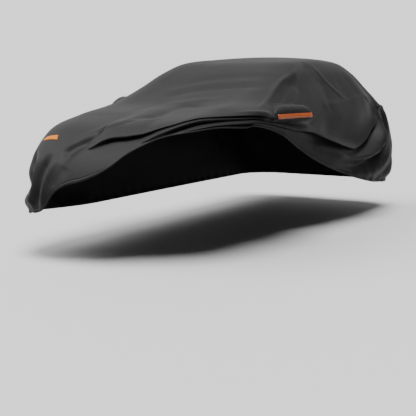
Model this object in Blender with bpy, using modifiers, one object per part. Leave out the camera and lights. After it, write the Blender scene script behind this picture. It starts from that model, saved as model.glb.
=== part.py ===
"""A fitted car cover, drawn up off one front corner. Metres, +Z up, +Y to the rear, +X to the car's left.

The cover is worked out in three steps. RINGS give its shape when it is pulled all the way down: closed
rounded loops from the roof to the hem, joined by smooth columns. HEM then says, from place to place around
the car, how far the hem is drawn up, and FOLDS say how the spare cloth lies in three folds. CREASES are the
soft ridges and troughs of the loose cloth. Columns are counted around the car in turns of a face: 0 to 1
across the front from the car's right to its left, 1 to 2 along the left side, 2 to 3 across the rear, and
3 to 4 back along the right side.
"""

import math
from collections import namedtuple

import bmesh
import bpy
import numpy as np
from mathutils import Vector
from mathutils.bvhtree import BVHTree

CLOTH = 0.0015  # thickness of the coated cloth
TAPE = 0.001  # thickness of the reflective tape
SEAM_GAP = 0.0009  # between two panels along their seam
TAPE_GAP = 0.0009  # between a tape and the cloth it is sewn on
REST = np.array((0.0, 0.68, 1.632))  # where a roof carries the cover, from the middle of the car's track
ROOF_CROWN = 0.016  # rise of the roof's middle over its edge

FRONT_COLUMNS = 20  # columns across the front, and across the rear
SIDE_COLUMNS = 22  # columns along each side
FACES = 4
LAST_RIGHT = 3.5  # places beyond this are read from the tables' places below 0

Ring = namedtuple("Ring", "half_width front rear front_round rear_round z_front z_side z_rear")
# Loops of the cover pulled down: half width, ends, corner radii, and height over the ground.
RINGS = (
    Ring(0.22, 0.42, 0.96, 0.04, 0.04, 1.612, 1.624, 1.608),  # crown, inside the first column points
    Ring(0.42, 0.22, 1.14, 0.05, 0.05, 1.600, 1.617, 1.597),  # roof
    Ring(0.60, -0.02, 1.29, 0.16, 0.16, 1.565, 1.587, 1.549),  # roof seam
    Ring(0.69, -0.22, 1.43, 0.22, 0.20, 1.492, 1.507, 1.460),  # cant rail
    Ring(0.78, -0.52, 1.64, 0.26, 0.24, 1.352, 1.350, 1.298),  # glass
    Ring(0.86, -0.86, 1.87, 0.30, 0.28, 1.225, 1.185, 1.130),  # belt
    Ring(0.91, -1.34, 2.03, 0.36, 0.32, 1.145, 1.045, 1.015),  # shoulder
    Ring(0.935, -1.80, 2.10, 0.42, 0.36, 1.015, 0.880, 0.860),  # lamps
    Ring(0.940, -2.05, 2.15, 0.50, 0.38, 0.800, 0.720, 0.700),  # nose
    Ring(0.940, -2.15, 2.17, 0.52, 0.38, 0.560, 0.540, 0.520),  # bumper
    Ring(0.910, -2.10, 2.13, 0.50, 0.36, 0.290, 0.290, 0.280),  # hem
)
FIRST_RING = 1.0  # columns start at the roof loop
SEAM_RING = 2.0  # the side panels are sewn on along this loop
HEM_RING = len(RINGS) - 1.0
RING_SAMPLES = 120  # places down a column where its length is measured
NORMAL_STEP = 0.004  # turns and ring counts to each side, for the direction of the surface

HemAt = namedtuple("HemAt", "around raised lift")
# How far the hem is drawn up along the cloth, and how far off the pulled-down cover the lowest layer lies.
HEM = (
    HemAt(-0.30, 0.000, 0.000), HemAt(0.00, 0.020, 0.000), HemAt(0.08, 0.045, 0.000),
    HemAt(0.15, 0.060, 0.000), HemAt(0.20, 0.090, 0.000), HemAt(0.24, 0.145, 0.000),
    HemAt(0.27, 0.215, 0.000), HemAt(0.30, 0.280, 0.000), HemAt(0.35, 0.325, 0.000),
    HemAt(0.45, 0.380, 0.000), HemAt(0.55, 0.457, 0.000), HemAt(0.60, 0.530, 0.000),
    HemAt(0.65, 0.640, 0.000), HemAt(0.70, 0.732, 0.000), HemAt(0.75, 0.815, 0.000),
    HemAt(0.80, 0.862, 0.000), HemAt(0.90, 0.925, -0.002), HemAt(1.00, 1.010, -0.012),
    HemAt(1.05, 1.035, -0.024), HemAt(1.10, 1.000, -0.038), HemAt(1.20, 0.870, -0.050),
    HemAt(1.30, 0.684, -0.056), HemAt(1.40, 0.510, -0.050), HemAt(1.50, 0.375, -0.044),
    HemAt(1.60, 0.256, -0.038), HemAt(1.70, 0.153, -0.024), HemAt(1.80, 0.074, -0.008),
    HemAt(1.90, 0.018, 0.000), HemAt(2.00, 0.000, 0.000), HemAt(2.20, 0.000, 0.000),
)

FoldAt = namedtuple("FoldAt", "around above_hem tuck depth")
# The folds that the drawn-up cloth lies in, from the top one down. Each has its lip some way above the hem,
# cloth tucked under the lip, and a depth from its top layer to the layer that comes out from under it.
TOP_FOLD = (
    FoldAt(-0.30, 0.470, 0.000, 0.000), FoldAt(-0.20, 0.590, 0.000, 0.000),
    FoldAt(-0.10, 0.680, 0.000, 0.000), FoldAt(0.00, 0.475, 0.000, 0.000),
    FoldAt(0.20, 0.475, 0.000, 0.000), FoldAt(0.30, 0.340, 0.000, 0.000),
    FoldAt(0.35, 0.285, 0.000, 0.014), FoldAt(0.40, 0.272, 0.000, 0.032), FoldAt(0.45, 0.282, 0.018, 0.038),
    FoldAt(0.50, 0.308, 0.080, 0.040), FoldAt(0.55, 0.300, 0.150, 0.040), FoldAt(0.60, 0.248, 0.200, 0.040),
    FoldAt(0.65, 0.178, 0.240, 0.038), FoldAt(0.70, 0.125, 0.250, 0.034), FoldAt(0.75, 0.095, 0.240, 0.030),
    FoldAt(0.80, 0.090, 0.220, 0.026), FoldAt(0.85, 0.112, 0.220, 0.024), FoldAt(0.90, 0.145, 0.220, 0.022),
    FoldAt(0.95, 0.152, 0.220, 0.022), FoldAt(1.00, 0.145, 0.200, 0.022), FoldAt(1.05, 0.148, 0.170, 0.022),
    FoldAt(1.09, 0.165, 0.140, 0.024), FoldAt(1.14, 0.160, 0.110, 0.026), FoldAt(1.18, 0.162, 0.070, 0.026),
    FoldAt(1.23, 0.172, 0.018, 0.026), FoldAt(1.27, 0.185, 0.000, 0.024), FoldAt(1.32, 0.210, 0.000, 0.014),
    FoldAt(1.40, 0.275, 0.000, 0.000), FoldAt(1.60, 0.400, 0.000, 0.000), FoldAt(1.80, 0.740, 0.000, 0.000),
    FoldAt(1.87, 0.820, 0.000, 0.000), FoldAt(2.00, 0.800, 0.000, 0.000),
)
MIDDLE_FOLD = (
    FoldAt(-0.30, 0.400, 0.000, 0.000), FoldAt(0.00, 0.207, 0.000, 0.000), FoldAt(0.20, 0.207, 0.000, 0.000),
    FoldAt(0.55, 0.170, 0.000, 0.000), FoldAt(0.62, 0.110, 0.000, 0.000), FoldAt(0.66, 0.070, 0.000, 0.000),
    FoldAt(0.70, 0.042, 0.000, 0.006), FoldAt(0.75, 0.024, 0.000, 0.015), FoldAt(0.80, 0.026, 0.018, 0.018),
    FoldAt(0.85, 0.052, 0.080, 0.020), FoldAt(0.90, 0.096, 0.130, 0.020), FoldAt(0.95, 0.104, 0.140, 0.020),
    FoldAt(1.00, 0.098, 0.120, 0.020), FoldAt(1.05, 0.092, 0.070, 0.018), FoldAt(1.09, 0.096, 0.018, 0.018),
    FoldAt(1.14, 0.098, 0.000, 0.014), FoldAt(1.18, 0.100, 0.000, 0.006), FoldAt(1.23, 0.108, 0.000, 0.000),
    FoldAt(1.30, 0.130, 0.000, 0.000), FoldAt(1.40, 0.190, 0.000, 0.000), FoldAt(1.60, 0.300, 0.000, 0.000),
    FoldAt(1.80, 0.640, 0.000, 0.000), FoldAt(1.87, 0.700, 0.000, 0.000), FoldAt(2.00, 0.600, 0.000, 0.000),
)
LOWER_FOLD = (
    FoldAt(-0.30, 0.200, 0.000, 0.000), FoldAt(0.00, 0.100, 0.000, 0.000), FoldAt(0.38, 0.090, 0.000, 0.000),
    FoldAt(0.55, 0.080, 0.000, 0.000), FoldAt(0.65, 0.035, 0.000, 0.000), FoldAt(0.73, 0.012, 0.000, 0.000),
    FoldAt(0.80, 0.010, 0.000, 0.000), FoldAt(0.85, 0.012, 0.000, 0.005), FoldAt(0.90, 0.018, 0.000, 0.013),
    FoldAt(0.95, 0.020, 0.018, 0.016), FoldAt(1.00, 0.020, 0.080, 0.018), FoldAt(1.05, 0.020, 0.130, 0.022),
    FoldAt(1.10, 0.022, 0.170, 0.026), FoldAt(1.20, 0.026, 0.200, 0.038), FoldAt(1.30, 0.056, 0.200, 0.048),
    FoldAt(1.40, 0.112, 0.200, 0.054), FoldAt(1.50, 0.150, 0.190, 0.056), FoldAt(1.60, 0.195, 0.170, 0.054),
    FoldAt(1.68, 0.275, 0.120, 0.048), FoldAt(1.73, 0.365, 0.070, 0.042), FoldAt(1.77, 0.460, 0.018, 0.036),
    FoldAt(1.82, 0.575, 0.000, 0.026), FoldAt(1.86, 0.610, 0.000, 0.012), FoldAt(1.91, 0.600, 0.000, 0.000),
    FoldAt(2.00, 0.400, 0.000, 0.000),
)
FOLDS = (TOP_FOLD, MIDDLE_FOLD, LOWER_FOLD)
FULL_TUCK = 0.080  # a fold with this much cloth under it lies as a full fold
FULL_DEPTH = 0.010  # a fold this deep has its own lines close together

FoldLine = namedtuple("FoldLine", "offset share sink start_offset start_share start_sink")
# Section of a full fold: distance from its lip, share of the tuck that lies above that, and share of the
# fold's depth. Then the same at the fold's two ends, where it starts as a step in the cloth.
FOLD = (
    FoldLine(-0.024, 0.0, 0.00, -0.020, 0.00, 0.00),
    FoldLine(-0.005, 0.0, 0.05, -0.008, 0.00, 0.06),
    FoldLine(0.000, 0.0, 0.22, -0.003, 0.00, 0.22),
    FoldLine(-0.006, 0.0, 0.40, -0.001, 0.33, 0.41),
    FoldLine(0.012, 1.0, 0.46, 0.001, 0.67, 0.59),
    FoldLine(0.000, 1.0, 0.72, 0.003, 1.00, 0.78),
    FoldLine(0.012, 1.0, 0.96, 0.008, 0.60, 0.94),
    FoldLine(-0.004, 0.0, 1.00, 0.020, 0.00, 1.00),
)
FOLD_REACH = 0.034  # room above and below a lip that its lines need
TOP_LINES = 8  # lines of the net between the roof seam and the top fold
BETWEEN_LINES = 1  # lines between two folds
HEM_LINES = 3  # lines below the lower fold
TOP_SHARE = 0.75  # share of the way down to the top lip where its own lines begin

Crease = namedtuple("Crease", "route width height")
# Soft folds: the places (around, down the cloth from the roof) that each one runs through, its width, and its
# height off the cloth, below zero in a trough.
CREASES = (
    Crease(((1.985, 1.10), (1.885, 1.08), (1.842, 1.17), (1.783, 1.27), (1.700, 1.31), (1.60, 1.28)),
           0.075, 0.040),
    Crease(((1.96, 1.32), (1.90, 1.34), (1.82, 1.42), (1.72, 1.41)), 0.060, -0.025),
    Crease(((1.97, 1.42), (1.90, 1.50), (1.82, 1.54), (1.72, 1.47)), 0.055, 0.028),
    Crease(((1.90, 1.05), (1.80, 1.02), (1.70, 1.06), (1.58, 1.10)), 0.110, 0.030),
    Crease(((1.36, 0.22), (1.46, 0.42), (1.56, 0.58), (1.66, 0.66)), 0.050, 0.012),
    Crease(((0.42, 1.98), (0.36, 2.12), (0.29, 2.26), (0.24, 2.42)), 0.045, -0.016),
    Crease(((0.40, 2.08), (0.34, 2.20), (0.30, 2.36)), 0.040, 0.012),
    Crease(((0.06, 2.35), (0.09, 2.60), (0.08, 2.85)), 0.055, -0.030),
    Crease(((0.17, 2.40), (0.16, 2.62), (0.13, 2.88)), 0.055, 0.022),
)
CREASE_STEPS = 30

PocketAt = namedtuple("PocketAt", "back face bottom top")
# The mirror pockets, from the front end to the rear end: place along the car, how far the face is from the
# car's middle, and its lower and upper edges over the ground. The drawn-up cloth pulls the left one down.
LEFT_POCKET = (
    PocketAt(-0.885, 0.800, 1.100, 1.146), PocketAt(-0.872, 0.800, 1.099, 1.152),
    PocketAt(-0.840, 0.948, 1.096, 1.184), PocketAt(-0.735, 0.972, 1.087, 1.222),
    PocketAt(-0.610, 1.004, 1.074, 1.238), PocketAt(-0.520, 1.036, 1.062, 1.240),
    PocketAt(-0.460, 1.056, 1.058, 1.234), PocketAt(-0.425, 1.060, 1.066, 1.212),
    PocketAt(-0.385, 0.800, 1.086, 1.172), PocketAt(-0.375, 0.800, 1.090, 1.166),
)
RIGHT_POCKET = (
    PocketAt(-0.742, 0.800, 1.114, 1.172), PocketAt(-0.730, 0.800, 1.112, 1.178),
    PocketAt(-0.680, 0.910, 1.106, 1.218), PocketAt(-0.620, 0.950, 1.102, 1.246),
    PocketAt(-0.560, 0.985, 1.098, 1.266), PocketAt(-0.510, 1.015, 1.096, 1.276),
    PocketAt(-0.460, 1.046, 1.098, 1.278), PocketAt(-0.425, 1.052, 1.108, 1.268),
    PocketAt(-0.385, 0.800, 1.116, 1.235), PocketAt(-0.373, 0.800, 1.118, 1.230),
)
LEFT_POCKET_TAPE = (1.104, 1.143)  # lower and upper edge of the tape on the pocket
RIGHT_POCKET_TAPE = (1.126, 1.163)
POCKET_TAPE_ENDS = (2, 7)  # first and last of a pocket's places that the tape covers
PocketLine = namedtuple("PocketLine", "stretch share out")
# Lines along the pocket: the stretch of height it lies in, its share of that, and of the way to the face.
POCKET_LINES = (
    PocketLine("flange", -1.0, 0.00), PocketLine("under", 0.0, 0.00), PocketLine("under", 0.40, 0.74),
    PocketLine("tape", 0.0, 1.00), PocketLine("tape", 1.0, 0.99), PocketLine("over", 0.52, 0.92),
    PocketLine("over", 0.90, 0.66), PocketLine("over", 1.0, 0.00), PocketLine("flange", 1.0, 0.00),
)
POCKET_FLANGE = 0.008  # width of the pocket's sewn edge
FAR_OUT = 2.0  # beyond the cover's side, where the rays towards it start
NUDGES = (0.0, 0.0002, -0.0002)  # moves that take a ray off the edge between two facets
HOLE_SPAN = (0.70, 1.05)  # the pocket holes' cutters reach across the side panels

HoodTape = namedtuple("HoodTape", "start end upper lower")
HOOD_TAPE = HoodTape(0.060, 0.180, 2.194, 2.250)  # its ends around the car, and edges down the cloth


# ---------------------------------------------------------------- the cover pulled down


def end_of_ring(share, radius, half_width):
    """Half of a ring's end, from its middle to the middle of its corner: (sideways, back from the end)."""
    straight = half_width - radius
    run = share * (straight + radius * math.pi / 4)
    turn = np.clip((run - straight) / radius, 0.0, math.pi / 4)
    return np.minimum(run, straight) + radius * np.sin(turn), radius * (1 - np.cos(turn))


def side_of_ring(share, ring):
    """A ring's side, from the middle of its front corner to the middle of its rear one: (x, y)."""
    eighth = math.pi / 4
    front_arc, rear_arc = ring.front_round * eighth, ring.rear_round * eighth
    straight = (ring.rear - ring.rear_round) - (ring.front + ring.front_round)
    run = share * (front_arc + straight + rear_arc)
    front_turn = eighth + np.clip(run, 0.0, front_arc) / ring.front_round
    rear_turn = np.clip(run - front_arc - straight, 0.0, rear_arc) / ring.rear_round
    in_front = run < front_arc
    behind = run > front_arc + straight
    x = np.where(in_front, ring.half_width - ring.front_round * (1 - np.sin(front_turn)), ring.half_width)
    x = np.where(behind, ring.half_width - ring.rear_round * (1 - np.cos(rear_turn)), x)
    y = np.where(in_front, ring.front + ring.front_round * (1 - np.cos(front_turn)),
                 ring.front + ring.front_round + run - front_arc)
    y = np.where(behind, ring.rear - ring.rear_round * (1 - np.sin(rear_turn)), y)
    return x, y


def ring_height(ring, y):
    """Height of a ring at y: a curve through its front, middle and rear heights."""
    t = np.clip((y - ring.front) / (ring.rear - ring.front), 0.0, 1.0)
    return (ring.z_front * (1 - t) * (1 - 2 * t) + ring.z_side * 4 * t * (1 - t)
            + ring.z_rear * t * (2 * t - 1))


def ring_points(ring, around):
    """Points of a ring at the places around the car."""
    around = np.mod(around, FACES)
    face = np.minimum(np.floor(around), FACES - 1)
    share = around - face
    middle = 2 * share - 1
    front_x, front_y = end_of_ring(np.abs(middle), ring.front_round, ring.half_width)
    rear_x, rear_y = end_of_ring(np.abs(middle), ring.rear_round, ring.half_width)
    left_x, left_y = side_of_ring(share, ring)
    right_x, right_y = side_of_ring(1 - share, ring)
    turn = np.sign(middle)
    pick = [face == 0, face == 1, face == 2]
    x = np.select(pick, [turn * front_x, left_x, -turn * rear_x], -right_x)
    y = np.select(pick, [ring.front + front_y, left_y, ring.rear - rear_y], right_y)
    return np.stack([x, y, ring_height(ring, y)], axis=-1)


def cubic(u, low, high, low_run, high_run):
    """A cubic from low at u 0 to high at u 1. The runs are its slopes there, times the step."""
    return (low * (2 * u**3 - 3 * u**2 + 1) + low_run * (u**3 - 2 * u**2 + u)
            + high * (3 * u**2 - 2 * u**3) + high_run * (u**3 - u**2))


def fitted(around, ring):
    """Points of the pulled-down cover. around and ring are arrays of one length; ring counts along RINGS."""
    control = np.stack([ring_points(each, around) for each in RINGS])
    chord = np.linalg.norm(np.diff(control, axis=0), axis=-1)[..., None]
    slope = np.diff(control, axis=0) / chord
    tangent = np.empty_like(control)
    tangent[1:-1] = (slope[:-1] * chord[1:] + slope[1:] * chord[:-1]) / (chord[1:] + chord[:-1])
    tangent[0] = slope[0]
    tangent[-1] = 1.5 * slope[-1] - 0.5 * tangent[-2]
    low = np.clip(ring.astype(int), 0, len(RINGS) - 2)
    u = (ring - low)[:, None]
    pick = np.arange(len(ring))
    length = chord[low, pick]
    return cubic(u, control[low, pick], control[low + 1, pick], tangent[low, pick] * length,
                 tangent[low + 1, pick] * length)


def column_scale(around):
    """For each column, ring counts and the distances down the cloth that they lie at."""
    rings = np.linspace(FIRST_RING, HEM_RING, RING_SAMPLES)
    points = fitted(np.repeat(around, len(rings)), np.tile(rings, len(around)))
    steps = np.linalg.norm(np.diff(points.reshape(len(around), len(rings), 3), axis=1), axis=-1)
    return rings, np.concatenate([np.zeros((len(around), 1)), np.cumsum(steps, axis=1)], axis=1)


def at_distance(around, down):
    """Points and outward normals of the pulled-down cover at (around, down), arrays of (columns, rows)."""
    rings, distance = column_scale(around)
    ring = np.stack([np.interp(row, scale, rings) for row, scale in zip(down, distance)])
    spread = np.repeat(around, down.shape[1])
    flat = ring.ravel()
    point = fitted(spread, flat)
    across = fitted(spread + NORMAL_STEP, flat) - fitted(spread - NORMAL_STEP, flat)
    along = fitted(spread, np.minimum(flat + NORMAL_STEP, HEM_RING)) - fitted(spread, flat - NORMAL_STEP)
    normal = np.cross(along, across)
    normal /= np.linalg.norm(normal, axis=-1, keepdims=True)
    return point.reshape(*down.shape, 3), normal.reshape(*down.shape, 3)


# ---------------------------------------------------------------- the folds


def smooth(x, knots, values):
    """A smooth curve through (knots, values), level beyond both ends."""
    slope = np.diff(values) / np.diff(knots)
    tangent = np.zeros(len(knots))
    tangent[1:-1] = np.where(slope[1:] * slope[:-1] > 0, (slope[1:] + slope[:-1]) / 2, 0.0)
    x = np.clip(x, knots[0], knots[-1])
    low = np.clip(np.searchsorted(knots, x, side="right") - 1, 0, len(knots) - 2)
    step = knots[low + 1] - knots[low]
    return cubic((x - knots[low]) / step, values[low], values[low + 1], tangent[low] * step,
                 tangent[low + 1] * step)


def values_at(table, around):
    """The values of a table of places around the car, read smoothly at other places, as one record."""
    wrapped = np.where(around > LAST_RIGHT, around - FACES, around)
    knots = np.array([row.around for row in table])
    return type(table[0])(*(smooth(wrapped, knots, np.array(column)) for column in zip(*table)))


def ease(x):
    """0 below 0, 1 above 1, and smooth between them."""
    x = np.clip(x, 0.0, 1.0)
    return x * x * (3 - 2 * x)


def lines_between(start, end, count):
    """count columns of values evenly between two arrays, without the ends."""
    shares = np.arange(1, count + 1) / (count + 1)
    return start[:, None] + (end - start)[:, None] * shares


def profile(around):
    """(down, lift) of each column's lines: distances along the pulled-down cover, and height off it."""
    rings, distance = column_scale(around)
    length = distance[:, -1]
    seam = np.array([np.interp(SEAM_RING, rings, scale) for scale in distance])
    hem_at = values_at(HEM, around)
    hem = length - hem_at.raised
    folds = [values_at(table, around) for table in FOLDS]
    lips = [hem - fold.above_hem for fold in folds]
    bounds = [TOP_SHARE * lips[0], *((a + b) / 2 for a, b in zip(lips, lips[1:])), (lips[-1] + hem) / 2]
    section = np.array(FOLD)[:, :3]
    start = np.array(FOLD)[:, 3:]

    level = hem_at.lift + sum(fold.depth for fold in folds)
    down = [np.zeros((len(around), 1)), seam[:, None]]
    lift = [np.zeros((len(around), 2))]
    last_lift = np.zeros(len(around))
    for k, (fold, lip) in enumerate(zip(folds, lips)):
        closed = ease(fold.tuck / FULL_TUCK)[:, None]
        offset, share, sink = (start[:, i] + (section[:, i] - start[:, i]) * closed for i in range(3))
        room = np.where(offset < 0, (lip - bounds[k])[:, None], (bounds[k + 1] - lip)[:, None])
        near = lip[:, None] + offset * np.minimum(1.0, room / FOLD_REACH) - share * fold.tuck[:, None]
        flat = lines_between(bounds[k], bounds[k + 1], len(FOLD))
        place = flat + (near - flat) * ease(fold.depth / FULL_DEPTH)[:, None]
        count = BETWEEN_LINES if k else TOP_LINES
        between = lines_between(np.zeros(len(around)), np.ones(len(around)), count)
        down += [lines_between(down[-1][:, -1], place[:, 0], count), place]
        lift += [last_lift[:, None] + (level - last_lift)[:, None] * ease(between),
                 level[:, None] - fold.depth[:, None] * sink]
        level = level - fold.depth
        last_lift = level
    down += [lines_between(down[-1][:, -1], hem, HEM_LINES - 1), hem[:, None]]
    lift += [np.repeat(level[:, None], HEM_LINES, axis=1)]
    return np.concatenate(down, axis=1), np.concatenate(lift, axis=1)


def crease_lift(points):
    """How far the creases raise or sink the cloth at points of the pulled-down cover."""
    lift = np.zeros(len(points))
    for crease in CREASES:
        route = np.array(crease.route)
        knots = np.linspace(0.0, 1.0, len(route))
        steps = np.linspace(0.0, 1.0, CREASE_STEPS)
        around, down = (smooth(steps, knots, route[:, axis]) for axis in (0, 1))
        line, _ = at_distance(around, down[:, None])
        away = np.linalg.norm(points[:, None] - line[:, 0][None], axis=-1)
        nearest = away.argmin(axis=1)
        fade = ease(4 * steps[nearest]) * ease(4 * (1 - steps[nearest]))
        lift += crease.height * fade * np.exp(-((away.min(axis=1) / crease.width) ** 2))
    return lift


# ---------------------------------------------------------------- the whole cloth as one net of points


def columns():
    """Places around the car of all columns."""
    counts = (FRONT_COLUMNS, SIDE_COLUMNS, FRONT_COLUMNS, SIDE_COLUMNS)
    return np.concatenate([face + np.arange(count) / count for face, count in enumerate(counts)])


def cloth_net():
    """(points, quads, owners) of the cloth's middle surface; owners name the panel of each quad."""
    around = columns()
    down, lift = profile(around)
    base, normal = at_distance(around, down)
    flat_base = base.reshape(-1, 3)
    lift = lift + crease_lift(flat_base).reshape(lift.shape)
    net = base + normal * lift[..., None]
    count, rows = down.shape
    points = list(net.reshape(-1, 3))

    def at(column, row):
        return (column % count) * rows + row

    quads, owners = [], []
    for column in range(count):
        panel = {1: "left", 3: "right"}.get(int(around[column]), "centre")
        for row in range(rows - 1):
            quads.append((at(column, row), at(column, row + 1), at(column + 1, row + 1), at(column + 1, row)))
            owners.append(panel if row > 0 else "centre")

    # The roof's middle: a grid inside the first line of the columns.
    inner = {}
    roof = RINGS[1]
    for i in range(FRONT_COLUMNS + 1):
        for j in range(SIDE_COLUMNS + 1):
            if j == 0:
                inner[i, j] = at(i, 0)
            elif i == FRONT_COLUMNS:
                inner[i, j] = at(FRONT_COLUMNS + j, 0)
            elif j == SIDE_COLUMNS:
                inner[i, j] = at(2 * FRONT_COLUMNS + SIDE_COLUMNS - i, 0)
            elif i == 0:
                inner[i, j] = at(count - j, 0)
            else:
                x_share = 2 * i / FRONT_COLUMNS - 1
                y_share = j / SIDE_COLUMNS
                y = roof.front + (roof.rear - roof.front) * y_share
                crown = ROOF_CROWN * (1 - x_share**2) * 4 * y_share * (1 - y_share)
                inner[i, j] = len(points)
                points.append(np.array((roof.half_width * x_share, y, ring_height(roof, y) + crown)))
    for i in range(FRONT_COLUMNS):
        for j in range(SIDE_COLUMNS):
            quads.append((inner[i, j], inner[i + 1, j], inner[i + 1, j + 1], inner[i, j + 1]))
            owners.append("centre")
    return np.array(points) - REST, quads, owners


def net_normals(points, quads):
    """Outward normals at the points of a net."""
    corners = points[np.array(quads)]
    face = np.cross(corners[:, 2] - corners[:, 0], corners[:, 3] - corners[:, 1])
    normal = np.zeros_like(points)
    for corner in range(4):
        np.add.at(normal, np.array(quads)[:, corner], face)
    return normal / np.linalg.norm(normal, axis=1, keepdims=True)


def drawn_back(points, normals, quads, gap):
    """points with those on the edge of quads drawn back from their neighbours by half of the gap."""
    quads = np.array(quads)
    uses = {}
    for quad in quads:
        for start, end in zip(quad, np.roll(quad, -1)):
            edge = frozenset((int(start), int(end)))
            uses[edge] = uses.get(edge, 0) + 1
    rim = [tuple(edge) for edge, count in uses.items() if count == 1]
    inward = {index: np.zeros(3) for edge in rim for index in edge}
    along = {index: np.zeros(3) for index in inward}
    for quad in quads:
        centre = points[quad].mean(axis=0)
        for index in quad:
            if index in inward:
                inward[index] += centre - points[index]
    for start, end in rim:
        step = points[end] - points[start]
        for index in (start, end):
            along[index] += step if along[index] @ step >= 0 else -step
    moved = points.copy()
    for index, way in inward.items():
        for out in (normals[index], along[index] / np.linalg.norm(along[index])):
            way = way - out * (way @ out)
        moved[index] += way / np.linalg.norm(way) * gap / 2
    return moved


def new_object(name, points, quads, material):
    """An open sheet of triangles on quads, each cut along its shorter diagonal, as an object."""
    used = sorted({int(index) for quad in quads for index in quad})
    place = {index: k for k, index in enumerate(used)}
    faces = []
    for quad in quads:
        a, b, c, d = (place[int(index)] for index in quad)
        first, second, third, fourth = (points[index] for index in quad)
        if np.linalg.norm(first - third) <= np.linalg.norm(second - fourth):
            faces += [(a, b, c), (a, c, d)]
        else:
            faces += [(a, b, d), (b, c, d)]
    mesh = bpy.data.meshes.new(name)
    mesh.from_pydata([tuple(points[index]) for index in used], [], faces)
    mesh.shade_smooth()
    mesh.materials.append(material)
    thing = bpy.data.objects.new(name, mesh)
    bpy.data.collections["car_cover"].objects.link(thing)
    return thing


def add_thickness(thing, thickness):
    """Make a sheet object solid, half of its thickness to each side."""
    solid = thing.modifiers.new("Thickness", "SOLIDIFY")
    solid.thickness = thickness
    solid.offset = 0.0


def patch_on(net, start, end):
    """A grid of points on a net between two places in it, given as counts of its two directions.

    The grid has a line wherever the net has one, so that it lies flat on each of the net's facets."""
    steps = [[low, *range(math.floor(low) + 1, math.ceil(high)), high] for low, high in zip(start, end)]
    rows = []
    for i in steps[0]:
        row = []
        for j in steps[1]:
            i0, j0 = min(int(i), net.shape[0] - 2), min(int(j), net.shape[1] - 2)
            u, v = i - i0, j - j0
            row.append(net[i0, j0] * (1 - u) * (1 - v) + net[i0 + 1, j0] * u * (1 - v)
                       + net[i0, j0 + 1] * (1 - u) * v + net[i0 + 1, j0 + 1] * u * v)
        rows.append(row)
    return np.array(rows)


def grid_quads(shape):
    """The quads of a grid of points whose rows follow each other."""
    rows, columns = shape
    return [(i * columns + j, i * columns + j + 1, (i + 1) * columns + j + 1, (i + 1) * columns + j)
            for i in range(rows - 1) for j in range(columns - 1)]


def add_tape(name, net, start, end, material):
    """A strip of reflective tape on a net of cloth."""
    patch = patch_on(net, start, end)
    points, quads = patch.reshape(-1, 3), grid_quads(patch.shape[:2])
    raised = points + net_normals(points, quads) * (CLOTH / 2 + TAPE_GAP + TAPE / 2)
    add_thickness(new_object(name, raised, quads, material), TAPE)


# ---------------------------------------------------------------- the mirror pockets


def pocket_heights(place, band):
    """Heights over the ground of a pocket's lines at one of its places. band is the tape's two edges."""
    low, high = band
    stretches = {"under": (place.bottom, low), "tape": (low, high), "over": (high, place.top)}
    heights = []
    for line in POCKET_LINES:
        if line.stretch == "flange":
            edge = place.bottom if line.share < 0 else place.top
            heights.append(edge + line.share * POCKET_FLANGE)
        else:
            start, end = stretches[line.stretch]
            heights.append(start + (end - start) * line.share)
    return heights


def stand_on(panel, side, back, height):
    """The point of a side panel at a place along the car and a height. A ray on an edge is moved a little."""
    for nudge in NUDGES:
        start = Vector((side * FAR_OUT, back - REST[1] + nudge, height - REST[2] + nudge))
        hit, _, _, _ = panel.ray_cast(start, Vector((-side, 0, 0)))
        if hit is not None:
            return np.array(hit)
    raise ValueError(f"no panel at {back:.3f}, {height:.3f}")


def pocket_net(panel, side, places, band):
    """A pocket's grid of points. panel finds the side panel; side is 1 on the left, -1 on the right."""
    net = []
    for place in places:
        row = []
        for line, height in zip(POCKET_LINES, pocket_heights(place, band)):
            foot = stand_on(panel, side, place.back, height)
            off = max(0.0, place.face - side * foot[0]) * line.out
            row.append(foot + np.array((side * off, 0, 0)))
        net.append(row)
    return np.array(net)


def pocket_cutter(name, net, side):
    """The outline of a pocket with the seam gap around it, as a block that runs through the side panel."""
    rim = [*net[:-1, 0], *net[-1, :-1], *net[:0:-1, -1], *net[0, :0:-1]]
    outline = np.array([(point[1], point[2]) for point in rim])
    step = np.roll(outline, -1, axis=0) - np.roll(outline, 1, axis=0)
    outward = np.stack([step[:, 1], -step[:, 0]], axis=1) / np.linalg.norm(step, axis=1, keepdims=True)
    middle = outline.mean(axis=0)
    outward *= np.sign(((outline - middle) * outward).sum(axis=1, keepdims=True))
    outline = outline + outward * SEAM_GAP
    block = bmesh.new()
    ends = [[block.verts.new((side * x, y, z)) for y, z in outline] for x in HOLE_SPAN]
    block.faces.new(ends[0])
    block.faces.new(ends[1])
    for k in range(len(outline)):
        after = (k + 1) % len(outline)
        block.faces.new((ends[0][k], ends[0][after], ends[1][after], ends[1][k]))
    bmesh.ops.recalc_face_normals(block, faces=block.faces)
    mesh = bpy.data.meshes.new(name)
    block.to_mesh(mesh)
    block.free()
    cutter = bpy.data.objects.new(name, mesh)
    cutter.hide_render = True
    cutter.display_type = "WIRE"
    bpy.data.collections["cutters"].objects.link(cutter)
    return cutter


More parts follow.
